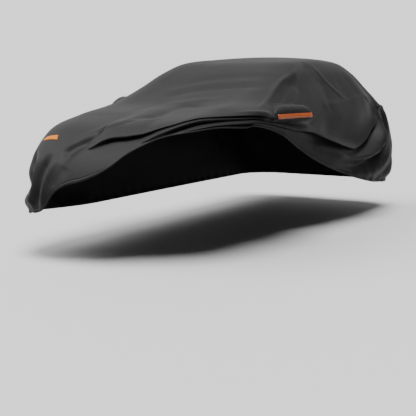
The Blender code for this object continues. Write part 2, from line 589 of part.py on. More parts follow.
def add_pocket(side_name, panel, places, band, cloth, tape):
    """A mirror pocket with its tape, and the hole for it in the side panel."""
    side = 1 if side_name == "left" else -1
    corners = [vertex.co for vertex in panel.data.vertices]
    surface = BVHTree.FromPolygons(corners, [face.vertices for face in panel.data.polygons])
    net = pocket_net(surface, side, places, band)
    if side > 0:
        net = net[:, ::-1]
    points, quads = net.reshape(-1, 3), grid_quads(net.shape[:2])
    add_thickness(new_object(f"{side_name}_mirror_pocket", points, quads, cloth), CLOTH)
    rows = [k for k, line in enumerate(POCKET_LINES) if line.stretch == "tape"]
    low, high = rows[0], rows[-1]
    if side > 0:
        low, high = (len(POCKET_LINES) - 1 - row for row in (high, low))
    start, end = POCKET_TAPE_ENDS
    add_tape(f"{side_name}_mirror_tape", net, (start, low), (end, high), tape)
    add_thickness(panel, CLOTH)
    hole = panel.modifiers.new("Pocket hole", "BOOLEAN")
    hole.operation = "DIFFERENCE"
    hole.object = pocket_cutter(f"{side_name}_pocket_hole", net, side)


def finish(name, colour, roughness):
    """A plain material."""
    made = bpy.data.materials.new(name)
    made.use_nodes = True
    shader = made.node_tree.nodes["Principled BSDF"]
    shader.inputs["Base Color"].default_value = (*colour, 1.0)
    shader.inputs["Roughness"].default_value = roughness
    return made


def hood_tape(points, tape):
    """The tape across the hood's right front corner."""
    around = columns()
    down, _ = profile(around)
    net = points[:down.size].reshape(len(around), -1, 3)[:FRONT_COLUMNS]
    start, end = HOOD_TAPE.start * FRONT_COLUMNS, HOOD_TAPE.end * FRONT_COLUMNS
    middle = down[round((start + end) / 2)]
    edges = (HOOD_TAPE.upper, HOOD_TAPE.lower)
    rows = [float(np.interp(place, middle, np.arange(len(middle)))) for place in edges]
    add_tape("hood_tape", net, (start, rows[0]), (end, rows[1]), tape)


def main():
    """Build the cover in an empty scene."""
    for thing in list(bpy.data.objects):
        bpy.data.objects.remove(thing)
    for name in ("car_cover", "cutters"):
        bpy.context.scene.collection.children.link(bpy.data.collections.new(name))
    cloth = finish("coated_cloth", (0.035, 0.035, 0.037), 0.6)
    tape = finish("reflective_tape", (0.85, 0.22, 0.03), 0.4)
    points, quads, owners = cloth_net()
    normals = net_normals(points, quads)
    panels = {}
    for owner in ("centre", "left", "right"):
        own = [quad for quad, of in zip(quads, owners) if of == owner]
        panels[owner] = new_object(f"{owner}_panel", drawn_back(points, normals, own, SEAM_GAP), own, cloth)
    add_thickness(panels["centre"], CLOTH)
    bpy.context.view_layer.update()
    add_pocket("left", panels["left"], LEFT_POCKET, LEFT_POCKET_TAPE, cloth, tape)
    add_pocket("right", panels["right"], RIGHT_POCKET, RIGHT_POCKET_TAPE, cloth, tape)
    hood_tape(points, tape)


main()
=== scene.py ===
"""Looks of a fitted car cover that is drawn up off its left front corner. Metres, +Z up, +Y to the rear.

The cloth is one net of fine points, cut into a centre panel and two side panels. PulledDown gives the
shape with the hem all the way down, Swag gathers it up into folds from place to place around the cover, and
CREASES are the soft ridges and troughs of the loose cloth. Places around the cover are counted in turns of
a face: 0 to 1 across the front from its right to its left, 1 to 2 along the left side, 2 to 3 across the
rear and 3 to 4 back along the right side. Places down the cloth are metres from the roof.
"""

from __future__ import annotations

import logging
import math
from collections.abc import Sequence
from dataclasses import dataclass, field
from enum import Enum
from typing import Any

import bmesh
import bpy
import numpy as np
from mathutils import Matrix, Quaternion, Vector, noise
from mathutils.bvhtree import BVHTree

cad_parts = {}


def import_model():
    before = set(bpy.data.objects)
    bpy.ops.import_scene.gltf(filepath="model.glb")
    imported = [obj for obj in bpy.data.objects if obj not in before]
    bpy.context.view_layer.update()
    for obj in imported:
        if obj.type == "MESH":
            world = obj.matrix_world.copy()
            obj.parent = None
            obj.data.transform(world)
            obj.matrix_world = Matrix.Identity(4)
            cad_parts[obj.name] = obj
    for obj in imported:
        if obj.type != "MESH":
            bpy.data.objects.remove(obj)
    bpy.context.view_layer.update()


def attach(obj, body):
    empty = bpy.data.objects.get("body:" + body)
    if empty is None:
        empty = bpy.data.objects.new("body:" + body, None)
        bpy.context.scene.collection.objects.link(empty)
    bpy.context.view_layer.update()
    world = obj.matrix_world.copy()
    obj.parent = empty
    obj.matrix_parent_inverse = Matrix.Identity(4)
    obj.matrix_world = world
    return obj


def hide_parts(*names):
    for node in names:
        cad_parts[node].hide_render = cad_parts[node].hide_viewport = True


Array = np.ndarray
Colour = tuple[float, float, float]

LOG = logging.getLogger("car_cover")
REST = np.array((0.0, 0.68, 1.632))  # the cover's origin in the tables, whose heights are over the ground
ROOF_CROWN = 0.016  # rise of the roof's middle over its edge
CLOTH = 0.001  # thickness of the coated cloth
FACES = 4
LAST_PLACE = 3.5  # places beyond it are read below 0, back from the right front corner
LEAST_CHORD = 1e-6
OUTSIDE = 2.0  # distance from the middle line that lies outside the whole cover


class Panel(Enum):
    """The lengths of cloth that the cover is sewn from."""

    CENTRE = "centre_panel"
    LEFT = "left_panel"
    RIGHT = "right_panel"


class Side(Enum):
    """The cover's two sides; the value is the side's direction along X."""

    LEFT = 1
    RIGHT = -1


# ---------------------------------------------------------------- the cover pulled down


@dataclass(frozen=True)
class Ring:
    """A level loop of the pulled-down cover: half width, ends, corner radii, heights over the ground."""

    half_width: float
    front: float
    rear: float
    front_round: float
    rear_round: float
    z_front: float
    z_side: float
    z_rear: float

    @staticmethod
    def half_end(share: Array, radius: float, half_width: float) -> tuple[Array, Array]:
        """Half of an end, from its middle to the middle of its corner.

        Args:
            share: places along the half end, 0 to 1.
            radius: the corner's radius.
            half_width: the ring's half width.

        Returns:
            Distances sideways from the middle, and back from the end.
        """
        straight = half_width - radius
        run = share * (straight + radius * math.pi / 4)
        turn = np.clip((run - straight) / radius, 0.0, math.pi / 4)
        return np.minimum(run, straight) + radius * np.sin(turn), radius * (1 - np.cos(turn))

    def side(self, share: Array) -> tuple[Array, Array]:
        """The side, from the middle of its front corner to the middle of its rear one.

        Args:
            share: places along the side, 0 to 1.

        Returns:
            Distances from the middle line, and places along the cover.
        """
        eighth = math.pi / 4
        front_arc, rear_arc = self.front_round * eighth, self.rear_round * eighth
        straight = (self.rear - self.rear_round) - (self.front + self.front_round)
        run = share * (front_arc + straight + rear_arc)
        front_turn = eighth + np.clip(run, 0.0, front_arc) / self.front_round
        rear_turn = np.clip(run - front_arc - straight, 0.0, rear_arc) / self.rear_round
        in_front, behind = run < front_arc, run > front_arc + straight
        x = self.half_width - np.where(in_front, self.front_round * (1 - np.sin(front_turn)), 0.0)
        x = np.where(behind, self.half_width - self.rear_round * (1 - np.cos(rear_turn)), x)
        y = np.where(in_front, self.front + self.front_round * (1 - np.cos(front_turn)),
                     self.front + self.front_round + run - front_arc)
        return x, np.where(behind, self.rear - self.rear_round * (1 - np.sin(rear_turn)), y)

    def height(self, y: Array | float) -> Array:
        """Height at places along the cover: a curve through the front, middle and rear heights."""
        t = np.clip((y - self.front) / (self.rear - self.front), 0.0, 1.0)
        return (self.z_front * (1 - t) * (1 - 2 * t) + self.z_side * 4 * t * (1 - t)
                + self.z_rear * t * (2 * t - 1))

    def points(self, around: Array) -> Array:
        """Points of the ring.

        Args:
            around: places around the cover.

        Returns:
            A point for each place.
        """
        around = np.mod(around, FACES)
        face = np.minimum(np.floor(around), FACES - 1)
        share = around - face
        middle = 2 * share - 1
        turn = np.sign(middle)
        front_x, front_y = self.half_end(np.abs(middle), self.front_round, self.half_width)
        rear_x, rear_y = self.half_end(np.abs(middle), self.rear_round, self.half_width)
        left_x, left_y = self.side(share)
        right_x, right_y = self.side(1 - share)
        pick = [face == 0, face == 1, face == 2]
        x = np.select(pick, [turn * front_x, left_x, -turn * rear_x], -right_x)
        y = np.select(pick, [self.front + front_y, left_y, self.rear - rear_y], right_y)
        return np.stack([x, y, self.height(y)], axis=-1)


RINGS = (
    Ring(0.22, 0.42, 0.96, 0.04, 0.04, 1.612, 1.624, 1.608),  # crown, inside the first column points
    Ring(0.42, 0.22, 1.14, 0.05, 0.05, 1.600, 1.617, 1.597),  # roof
    Ring(0.60, -0.02, 1.29, 0.16, 0.16, 1.565, 1.587, 1.549),  # roof seam
    Ring(0.69, -0.22, 1.43, 0.22, 0.20, 1.492, 1.507, 1.460),  # upper side
    Ring(0.78, -0.52, 1.64, 0.26, 0.24, 1.352, 1.350, 1.298),  # upper slopes
    Ring(0.86, -0.86, 1.87, 0.30, 0.28, 1.225, 1.185, 1.130),  # waist
    Ring(0.91, -1.34, 2.03, 0.36, 0.32, 1.145, 1.045, 1.015),  # shoulder
    Ring(0.935, -1.80, 2.10, 0.42, 0.36, 1.015, 0.880, 0.860),  # front slope
    Ring(0.940, -2.05, 2.15, 0.50, 0.38, 0.800, 0.720, 0.700),  # front face
    Ring(0.940, -2.15, 2.17, 0.52, 0.38, 0.560, 0.540, 0.520),  # lower side
    Ring(0.910, -2.10, 2.13, 0.50, 0.36, 0.290, 0.290, 0.280),  # hem
)
ROOF_RING = 1
SEAM_RING = 2.0
HEM_RING = len(RINGS) - 1.0


def cubic(u: Array, low: Array, high: Array, low_run: Array, high_run: Array) -> Array:
    """A cubic between two values that leaves and arrives with the given runs.

    Args:
        u: share of the way, 0 to 1.
        low: value at 0.
        high: value at 1.
        low_run: slope at 0, times the step.
        high_run: slope at 1, times the step.

    Returns:
        The values on the way.
    """
    return (low * (2 * u**3 - 3 * u**2 + 1) + low_run * (u**3 - 2 * u**2 + u)
            + high * (3 * u**2 - 2 * u**3) + high_run * (u**3 - u**2))


def ease(x: Array) -> Array:
    """0 below 0, 1 above 1, and smooth between them."""
    x = np.clip(x, 0.0, 1.0)
    return x * x * (3 - 2 * x)


def smooth(x: Array, knots: Array, values: Array) -> Array:
    """A smooth curve without overshoot through knots, level beyond both ends.

    Args:
        x: where the curve is read.
        knots: the knots' places, rising.
        values: the curve's values at the knots.

    Returns:
        The curve's values at x.
    """
    slope = np.diff(values) / np.diff(knots)
    tangent = np.zeros(len(knots))
    tangent[1:-1] = np.where(slope[1:] * slope[:-1] > 0, (slope[1:] + slope[:-1]) / 2, 0.0)
    x = np.clip(x, knots[0], knots[-1])
    low = np.clip(np.searchsorted(knots, x, side="right") - 1, 0, len(knots) - 2)
    step = knots[low + 1] - knots[low]
    return cubic((x - knots[low]) / step, values[low], values[low + 1], tangent[low] * step,
                 tangent[low + 1] * step)


def chord_tangents(control: Array, chord: Array) -> Array:
    """Unit-speed tangents at control points, weighed by the chords beside them.

    Args:
        control: the points along axis 0.
        chord: the distances between them.

    Returns:
        A tangent for each point.
    """
    slope = np.diff(control, axis=0) / chord
    tangent = np.empty_like(control)
    tangent[1:-1] = (slope[:-1] * chord[1:] + slope[1:] * chord[:-1]) / (chord[1:] + chord[:-1])
    tangent[0] = slope[0]
    tangent[-1] = 1.5 * slope[-1] - 0.5 * tangent[-2]
    return tangent


def curve_through(control: Array, steps: Sequence[int], level: int = 0) -> Array:
    """A smooth curve through control points.

    Args:
        control: the points along axis 0.
        steps: into how many each step from one to the next is divided.
        level: at how many of the first points the last coordinate neither rises nor falls.

    Returns:
        The curve's points along axis 0.
    """
    chord = np.maximum(np.linalg.norm(np.diff(control, axis=0), axis=-1), LEAST_CHORD)[..., None]
    tangent = chord_tangents(control, chord)
    tangent[:level, ..., -1] = 0.0
    made = []
    for k, count in enumerate(steps):
        ends = control[k], control[k + 1], tangent[k] * chord[k], tangent[k + 1] * chord[k]
        made += [cubic(share, *ends) for share in np.arange(count) / count]
    return np.stack([*made, control[-1]])


def run_along(points: Array) -> Array:
    """Distances along a line of points, from the first to each of them."""
    return np.concatenate([[0.0], np.cumsum(np.linalg.norm(np.diff(points, axis=0), axis=-1))])


@dataclass
class PulledDown:
    """The cover with its hem all the way down: rings joined by smooth columns."""

    rings: Sequence[Ring] = RINGS
    scale_steps: int = 160
    probe: float = 0.004

    def surface(self, around: Array, ring: Array) -> Array:
        """Points of the pulled-down cover.

        Args:
            around: places around the cover.
            ring: ring counts, as many.

        Returns:
            A point for each pair.
        """
        control = np.stack([each.points(around) for each in self.rings])
        chord = np.linalg.norm(np.diff(control, axis=0), axis=-1)[..., None]
        tangent = chord_tangents(control, chord)
        low = np.clip(ring.astype(int), 0, len(self.rings) - 2)
        pick = np.arange(len(ring))
        length = chord[low, pick]
        return cubic((ring - low)[:, None], control[low, pick], control[low + 1, pick],
                     tangent[low, pick] * length, tangent[low + 1, pick] * length)

    def scale(self, around: Array) -> tuple[Array, Array]:
        """The scales that turn metres down the cloth into ring counts.

        Args:
            around: the columns' places around the cover.

        Returns:
            Ring counts, and how far down the cloth they lie, one row for each column.
        """
        rings = np.linspace(ROOF_RING, HEM_RING, self.scale_steps)
        points = self.surface(np.repeat(around, len(rings)), np.tile(rings, len(around)))
        steps = np.linalg.norm(np.diff(points.reshape(len(around), len(rings), 3), axis=1), axis=-1)
        return rings, np.concatenate([np.zeros((len(around), 1)), np.cumsum(steps, axis=1)], axis=1)

    def at(self, around: Array, down: Array) -> tuple[Array, Array]:
        """Points and outward normals at columns around the cover and places down them.

        Args:
            around: the columns' places around the cover.
            down: metres down the cloth, one row for each column.

        Returns:
            Points and unit normals, both (columns, rows, 3).
        """
        rings, distance = self.scale(around)
        ring = np.stack([np.interp(row, scale, rings) for row, scale in zip(down, distance)])
        spread, flat = np.repeat(around, down.shape[1]), ring.ravel()
        point = self.surface(spread, flat)
        across = self.surface(spread + self.probe, flat) - self.surface(spread - self.probe, flat)
        along = (self.surface(spread, np.minimum(flat + self.probe, HEM_RING))
                 - self.surface(spread, flat - self.probe))
        normal = np.cross(along, across)
        normal /= np.linalg.norm(normal, axis=-1, keepdims=True)
        return point.reshape(*down.shape, 3), normal.reshape(*down.shape, 3)


# ---------------------------------------------------------------- the folds that the hem is drawn up into


@dataclass(frozen=True)
class HemPlace:
    """How far the hem is drawn up at a place around the cover, and how far off the pulled cloth it lies."""

    around: float
    raised: float
    lift: float = 0.0


@dataclass(frozen=True)
class FoldPlace:
    """A fold at a place around the cover: its lip over the hem, the cloth tucked under it, and its depth."""

    around: float
    above_hem: float
    tuck: float = 0.0
    depth: float = 0.0


@dataclass(frozen=True)
class FoldLine:
    """A line along a fold: distance from the lip, share of the tuck above it, share of the depth.

    The first three are for a full fold, and the last three for its ends, where it starts as a step.
    """

    offset: float
    share: float
    sink: float
    start_offset: float
    start_share: float
    start_sink: float


HEM = tuple(HemPlace(*row) for row in (
    (-0.30, 0.000), (-0.05, 0.045), (0.00, 0.060), (0.08, 0.085), (0.15, 0.102), (0.20, 0.130),
    (0.24, 0.182), (0.27, 0.242), (0.30, 0.296), (0.35, 0.342), (0.45, 0.393), (0.55, 0.472), (0.60, 0.542),
    (0.65, 0.650), (0.70, 0.736), (0.75, 0.815), (0.80, 0.862), (0.90, 0.928, -0.002),
    (1.00, 1.042, -0.012), (1.05, 1.052, -0.024), (1.10, 1.028, -0.038), (1.20, 0.900, -0.052),
    (1.30, 0.732, -0.058), (1.40, 0.562, -0.058), (1.50, 0.405, -0.056), (1.60, 0.274, -0.050),
    (1.70, 0.162, -0.036), (1.80, 0.076, -0.016), (1.90, 0.018), (2.00, 0.000), (2.20, 0.000),
))
TOP_FOLD = tuple(FoldPlace(*row) for row in (
    (-0.30, 0.470), (-0.20, 0.590), (-0.10, 0.680), (0.00, 0.475), (0.20, 0.475), (0.30, 0.340),
    (0.35, 0.290), (0.40, 0.292, 0.000, 0.004), (0.44, 0.300, 0.000, 0.020), (0.48, 0.322, 0.018, 0.036),
    (0.52, 0.330, 0.090, 0.040), (0.56, 0.305, 0.150, 0.040), (0.60, 0.258, 0.200, 0.040),
    (0.65, 0.178, 0.220, 0.036), (0.70, 0.125, 0.190, 0.028), (0.75, 0.095, 0.150, 0.020),
    (0.80, 0.090, 0.115, 0.015), (0.85, 0.112, 0.090, 0.013), (0.90, 0.145, 0.085, 0.013),
    (0.95, 0.150, 0.085, 0.015), (1.00, 0.152, 0.085, 0.019), (1.05, 0.182, 0.085, 0.023),
    (1.09, 0.182, 0.085, 0.026), (1.14, 0.176, 0.085, 0.030), (1.18, 0.170, 0.070, 0.031),
    (1.23, 0.172, 0.018, 0.030), (1.27, 0.178, 0.000, 0.026), (1.32, 0.205, 0.000, 0.014), (1.40, 0.300),
    (1.60, 0.400), (1.80, 0.780), (1.87, 0.930), (2.00, 0.880), (3.20, 0.470),
))
MIDDLE_FOLD = tuple(FoldPlace(*row) for row in (
    (-0.30, 0.400), (0.00, 0.207), (0.20, 0.207), (0.55, 0.170), (0.62, 0.110), (0.66, 0.070),
    (0.70, 0.042, 0.000, 0.010), (0.75, 0.026, 0.000, 0.024), (0.80, 0.030, 0.018, 0.034),
    (0.85, 0.058, 0.080, 0.040), (0.90, 0.104, 0.130, 0.036), (0.95, 0.114, 0.140, 0.027),
    (1.00, 0.122, 0.120, 0.019), (1.05, 0.152, 0.070, 0.015), (1.09, 0.142, 0.018, 0.011),
    (1.14, 0.128, 0.000, 0.006), (1.18, 0.120), (1.23, 0.122), (1.30, 0.145), (1.40, 0.240), (1.60, 0.320),
    (1.80, 0.680), (1.87, 0.830), (2.00, 0.700), (3.20, 0.400),
))
LOWER_FOLD = tuple(FoldPlace(*row) for row in (
    (-0.30, 0.200), (0.00, 0.100), (0.38, 0.090), (0.55, 0.080), (0.65, 0.035), (0.73, 0.012),
    (0.80, 0.010), (0.85, 0.012, 0.000, 0.005), (0.90, 0.018, 0.000, 0.013), (0.95, 0.020, 0.018, 0.016),
    (1.00, 0.028, 0.080, 0.020), (1.05, 0.066, 0.130, 0.026), (1.10, 0.072, 0.170, 0.034),
    (1.20, 0.068, 0.200, 0.046), (1.25, 0.078, 0.200, 0.052), (1.30, 0.096, 0.200, 0.058),
    (1.36, 0.146, 0.200, 0.062), (1.42, 0.196, 0.200, 0.064), (1.48, 0.214, 0.190, 0.064),
    (1.55, 0.224, 0.180, 0.064), (1.61, 0.229, 0.160, 0.060), (1.64, 0.239, 0.145, 0.058),
    (1.67, 0.260, 0.125, 0.056), (1.70, 0.296, 0.098, 0.053), (1.735, 0.352, 0.056, 0.048),
    (1.77, 0.420, 0.018, 0.044), (1.82, 0.550, 0.000, 0.032), (1.86, 0.680, 0.000, 0.012), (1.90, 0.740),
    (2.00, 0.400), (3.20, 0.200),
))
FOLD_SECTION = (
    FoldLine(-0.024, 0.0, 0.00, -0.020, 0.00, 0.00),
    FoldLine(-0.005, 0.0, 0.05, -0.008, 0.00, 0.06),
    FoldLine(0.000, 0.0, 0.22, -0.003, 0.00, 0.22),
    FoldLine(-0.006, 0.0, 0.40, -0.001, 0.33, 0.41),
    FoldLine(0.012, 1.0, 0.46, 0.001, 0.67, 0.59),
    FoldLine(0.000, 1.0, 0.72, 0.003, 1.00, 0.78),
    FoldLine(0.012, 1.0, 0.96, 0.008, 0.60, 0.94),
    FoldLine(-0.004, 0.0, 1.00, 0.020, 0.00, 1.00),
)


def lines_between(start: Array, end: Array, count: int) -> Array:
    """count columns of values evenly between two arrays, without the ends."""
    return start[:, None] + (end - start)[:, None] * np.arange(1, count + 1) / (count + 1)


def places(table: Sequence[Any], around: Array) -> dict[str, Array]:
    """The named values of a table of places, read smoothly at other places around the cover.

    Args:
        table: rows of one kind, with their places around the cover.
        around: the other places.

    Returns:
        The values at each of them, by name.
    """
    wrapped = np.where(around > LAST_PLACE, around - FACES, around)
    knots = np.array([row.around for row in table])
    names = [name for name in vars(table[0]) if name != "around"]
    return {name: smooth(wrapped, knots, np.array([getattr(row, name) for row in table])) for name in names}


@dataclass
class Swag:
    """How the hem is drawn up, and the folds that the spare cloth lies in, from the top one down."""

    cover: PulledDown
    hem: Sequence[HemPlace] = HEM
    folds: Sequence[Sequence[FoldPlace]] = (TOP_FOLD, MIDDLE_FOLD, LOWER_FOLD)
    section: Sequence[FoldLine] = FOLD_SECTION
    full_tuck: float = 0.080
    full_depth: float = 0.010
    fold_reach: float = 0.034
    top_lines: int = 8
    between_lines: int = 1
    hem_lines: int = 3
    top_share: float = 0.75
    hem_band: float = 0.038
    least_band: float = 0.35
    seam_steps: int = 4
    top_steps: tuple[int, ...] = (5, 6, 8, 10, 12, 14, 16, 18, 18)
    fold_steps: int = 4
    between_steps: int = 6
    over_hem_steps: int = 8
    hem_steps: int = 12

    def lines(self, around: Array) -> tuple[Array, Array]:
        """The lines that carry the shape.

        Args:
            around: the columns' places around the cover.

        Returns:
            Metres down the pulled-down cover, and height off it, one row for each column.
        """
        rings, distance = self.cover.scale(around)
        seam = np.array([np.interp(SEAM_RING, rings, scale) for scale in distance])
        edge = places(self.hem, around)
        hem = distance[:, -1] - edge["raised"]
        folds = [places(table, around) for table in self.folds]
        lips = [hem - fold["above_hem"] for fold in folds]
        bounds = [self.top_share * lips[0], *((upper + lower) / 2 for upper, lower in zip(lips, lips[1:])),
                  (lips[-1] + hem) / 2]
        full = np.array([[line.offset, line.share, line.sink] for line in self.section])
        start = np.array([[line.start_offset, line.start_share, line.start_sink] for line in self.section])
        level = edge["lift"] + sum(fold["depth"] for fold in folds)
        down, lift = [np.zeros((len(around), 1)), seam[:, None]], [np.zeros((len(around), 2))]
        last_lift = np.zeros(len(around))
        for k, (fold, lip) in enumerate(zip(folds, lips)):
            closed = ease(fold["tuck"] / self.full_tuck)[:, None]
            offset, share, sink = (start[:, i] + (full[:, i] - start[:, i]) * closed for i in range(3))
            room = np.where(offset < 0, (lip - bounds[k])[:, None], (bounds[k + 1] - lip)[:, None])
            tuck = share * fold["tuck"][:, None]
            near = lip[:, None] + offset * np.minimum(1.0, room / self.fold_reach) - tuck
            flat = lines_between(bounds[k], bounds[k + 1], len(self.section))
            place = flat + (near - flat) * ease(fold["depth"] / self.full_depth)[:, None]
            count = self.between_lines if k else self.top_lines
            shares = lines_between(np.zeros(len(around)), np.ones(len(around)), count)
            down += [lines_between(down[-1][:, -1], place[:, 0], count), place]
            lift += [last_lift[:, None] + (level - last_lift)[:, None] * ease(shares),
                     level[:, None] - fold["depth"][:, None] * sink]
            level = level - fold["depth"]
            last_lift = level
        last = down[-1][:, -1]
        band = np.maximum(hem - self.hem_band, last + (hem - last) * self.least_band)
        down += [lines_between(last, band, self.hem_lines - 2), band[:, None], hem[:, None]]
        lift += [np.repeat(level[:, None], self.hem_lines, axis=1)]
        return np.concatenate(down, axis=1), np.concatenate(lift, axis=1)

    def fine_steps(self) -> list[int]:
        """Into how many rows each step from one line to the next is divided.

        Returns:
            A count for each step, from the roof down.
        """
        fold = [self.fold_steps] * (len(self.section) - 1)
        between = [self.between_steps] * (self.between_lines + 1)
        below = [self.over_hem_steps] * (self.hem_lines - 1)
        return [self.seam_steps, *self.top_steps, *(fold + between) * (len(self.folds) - 1), *fold, *below,
                self.hem_steps]

    def rows(self, around: Array) -> tuple[Array, Array]:
        """The lines with smooth rows between them.

        Args:
            around: the columns' places around the cover.

        Returns:
            What lines() gives, for all rows.
        """
        control = np.stack(self.lines(around), axis=-1).transpose(1, 0, 2)
        rows = curve_through(control, self.fine_steps(), level=2).transpose(1, 0, 2).copy()
        return rows[..., 0], rows[..., 1]


# ---------------------------------------------------------------- creases and slack


@dataclass(frozen=True)
class Crease:
    """A soft fold: the places (around, down) that it runs through, its width and its height."""

    route: tuple[tuple[float, float], ...]
    width: float
    height: float
    sharpness: float = 2.0
    steps: int = 40
    reach: float = 3.0
    taper: float = 4.0

    def lift(self, cover: PulledDown, points: Array) -> Array:
        """How far the crease raises the cloth.

        Args:
            cover: the pulled-down cover.
            points: points on it.

        Returns:
            The crease's height at each point.
        """
        route = np.array(self.route)
        knots, steps = np.linspace(0.0, 1.0, len(route)), np.linspace(0.0, 1.0, self.steps)
        around, down = (smooth(steps, knots, route[:, axis]) for axis in (0, 1))
        line = cover.at(around, down[:, None])[0][:, 0]
        reach = self.reach * self.width
        near = np.all((points > line.min(axis=0) - reach) & (points < line.max(axis=0) + reach), axis=1)
        run, off = np.diff(line, axis=0), points[near, None] - line[None, :-1]
        share = np.clip((off * run).sum(axis=-1) / (run**2).sum(axis=-1), 0.0, 1.0)
        away = np.linalg.norm(off - share[..., None] * run, axis=-1)
        nearest = away.argmin(axis=1)
        along = (nearest + share[np.arange(len(nearest)), nearest]) / (self.steps - 1)
        fade = ease(self.taper * along) * ease(self.taper * (1 - along))
        lift = np.zeros(len(points))
        lift[near] = self.height * fade * np.exp(-((away.min(axis=1) / self.width) ** self.sharpness))
        return lift


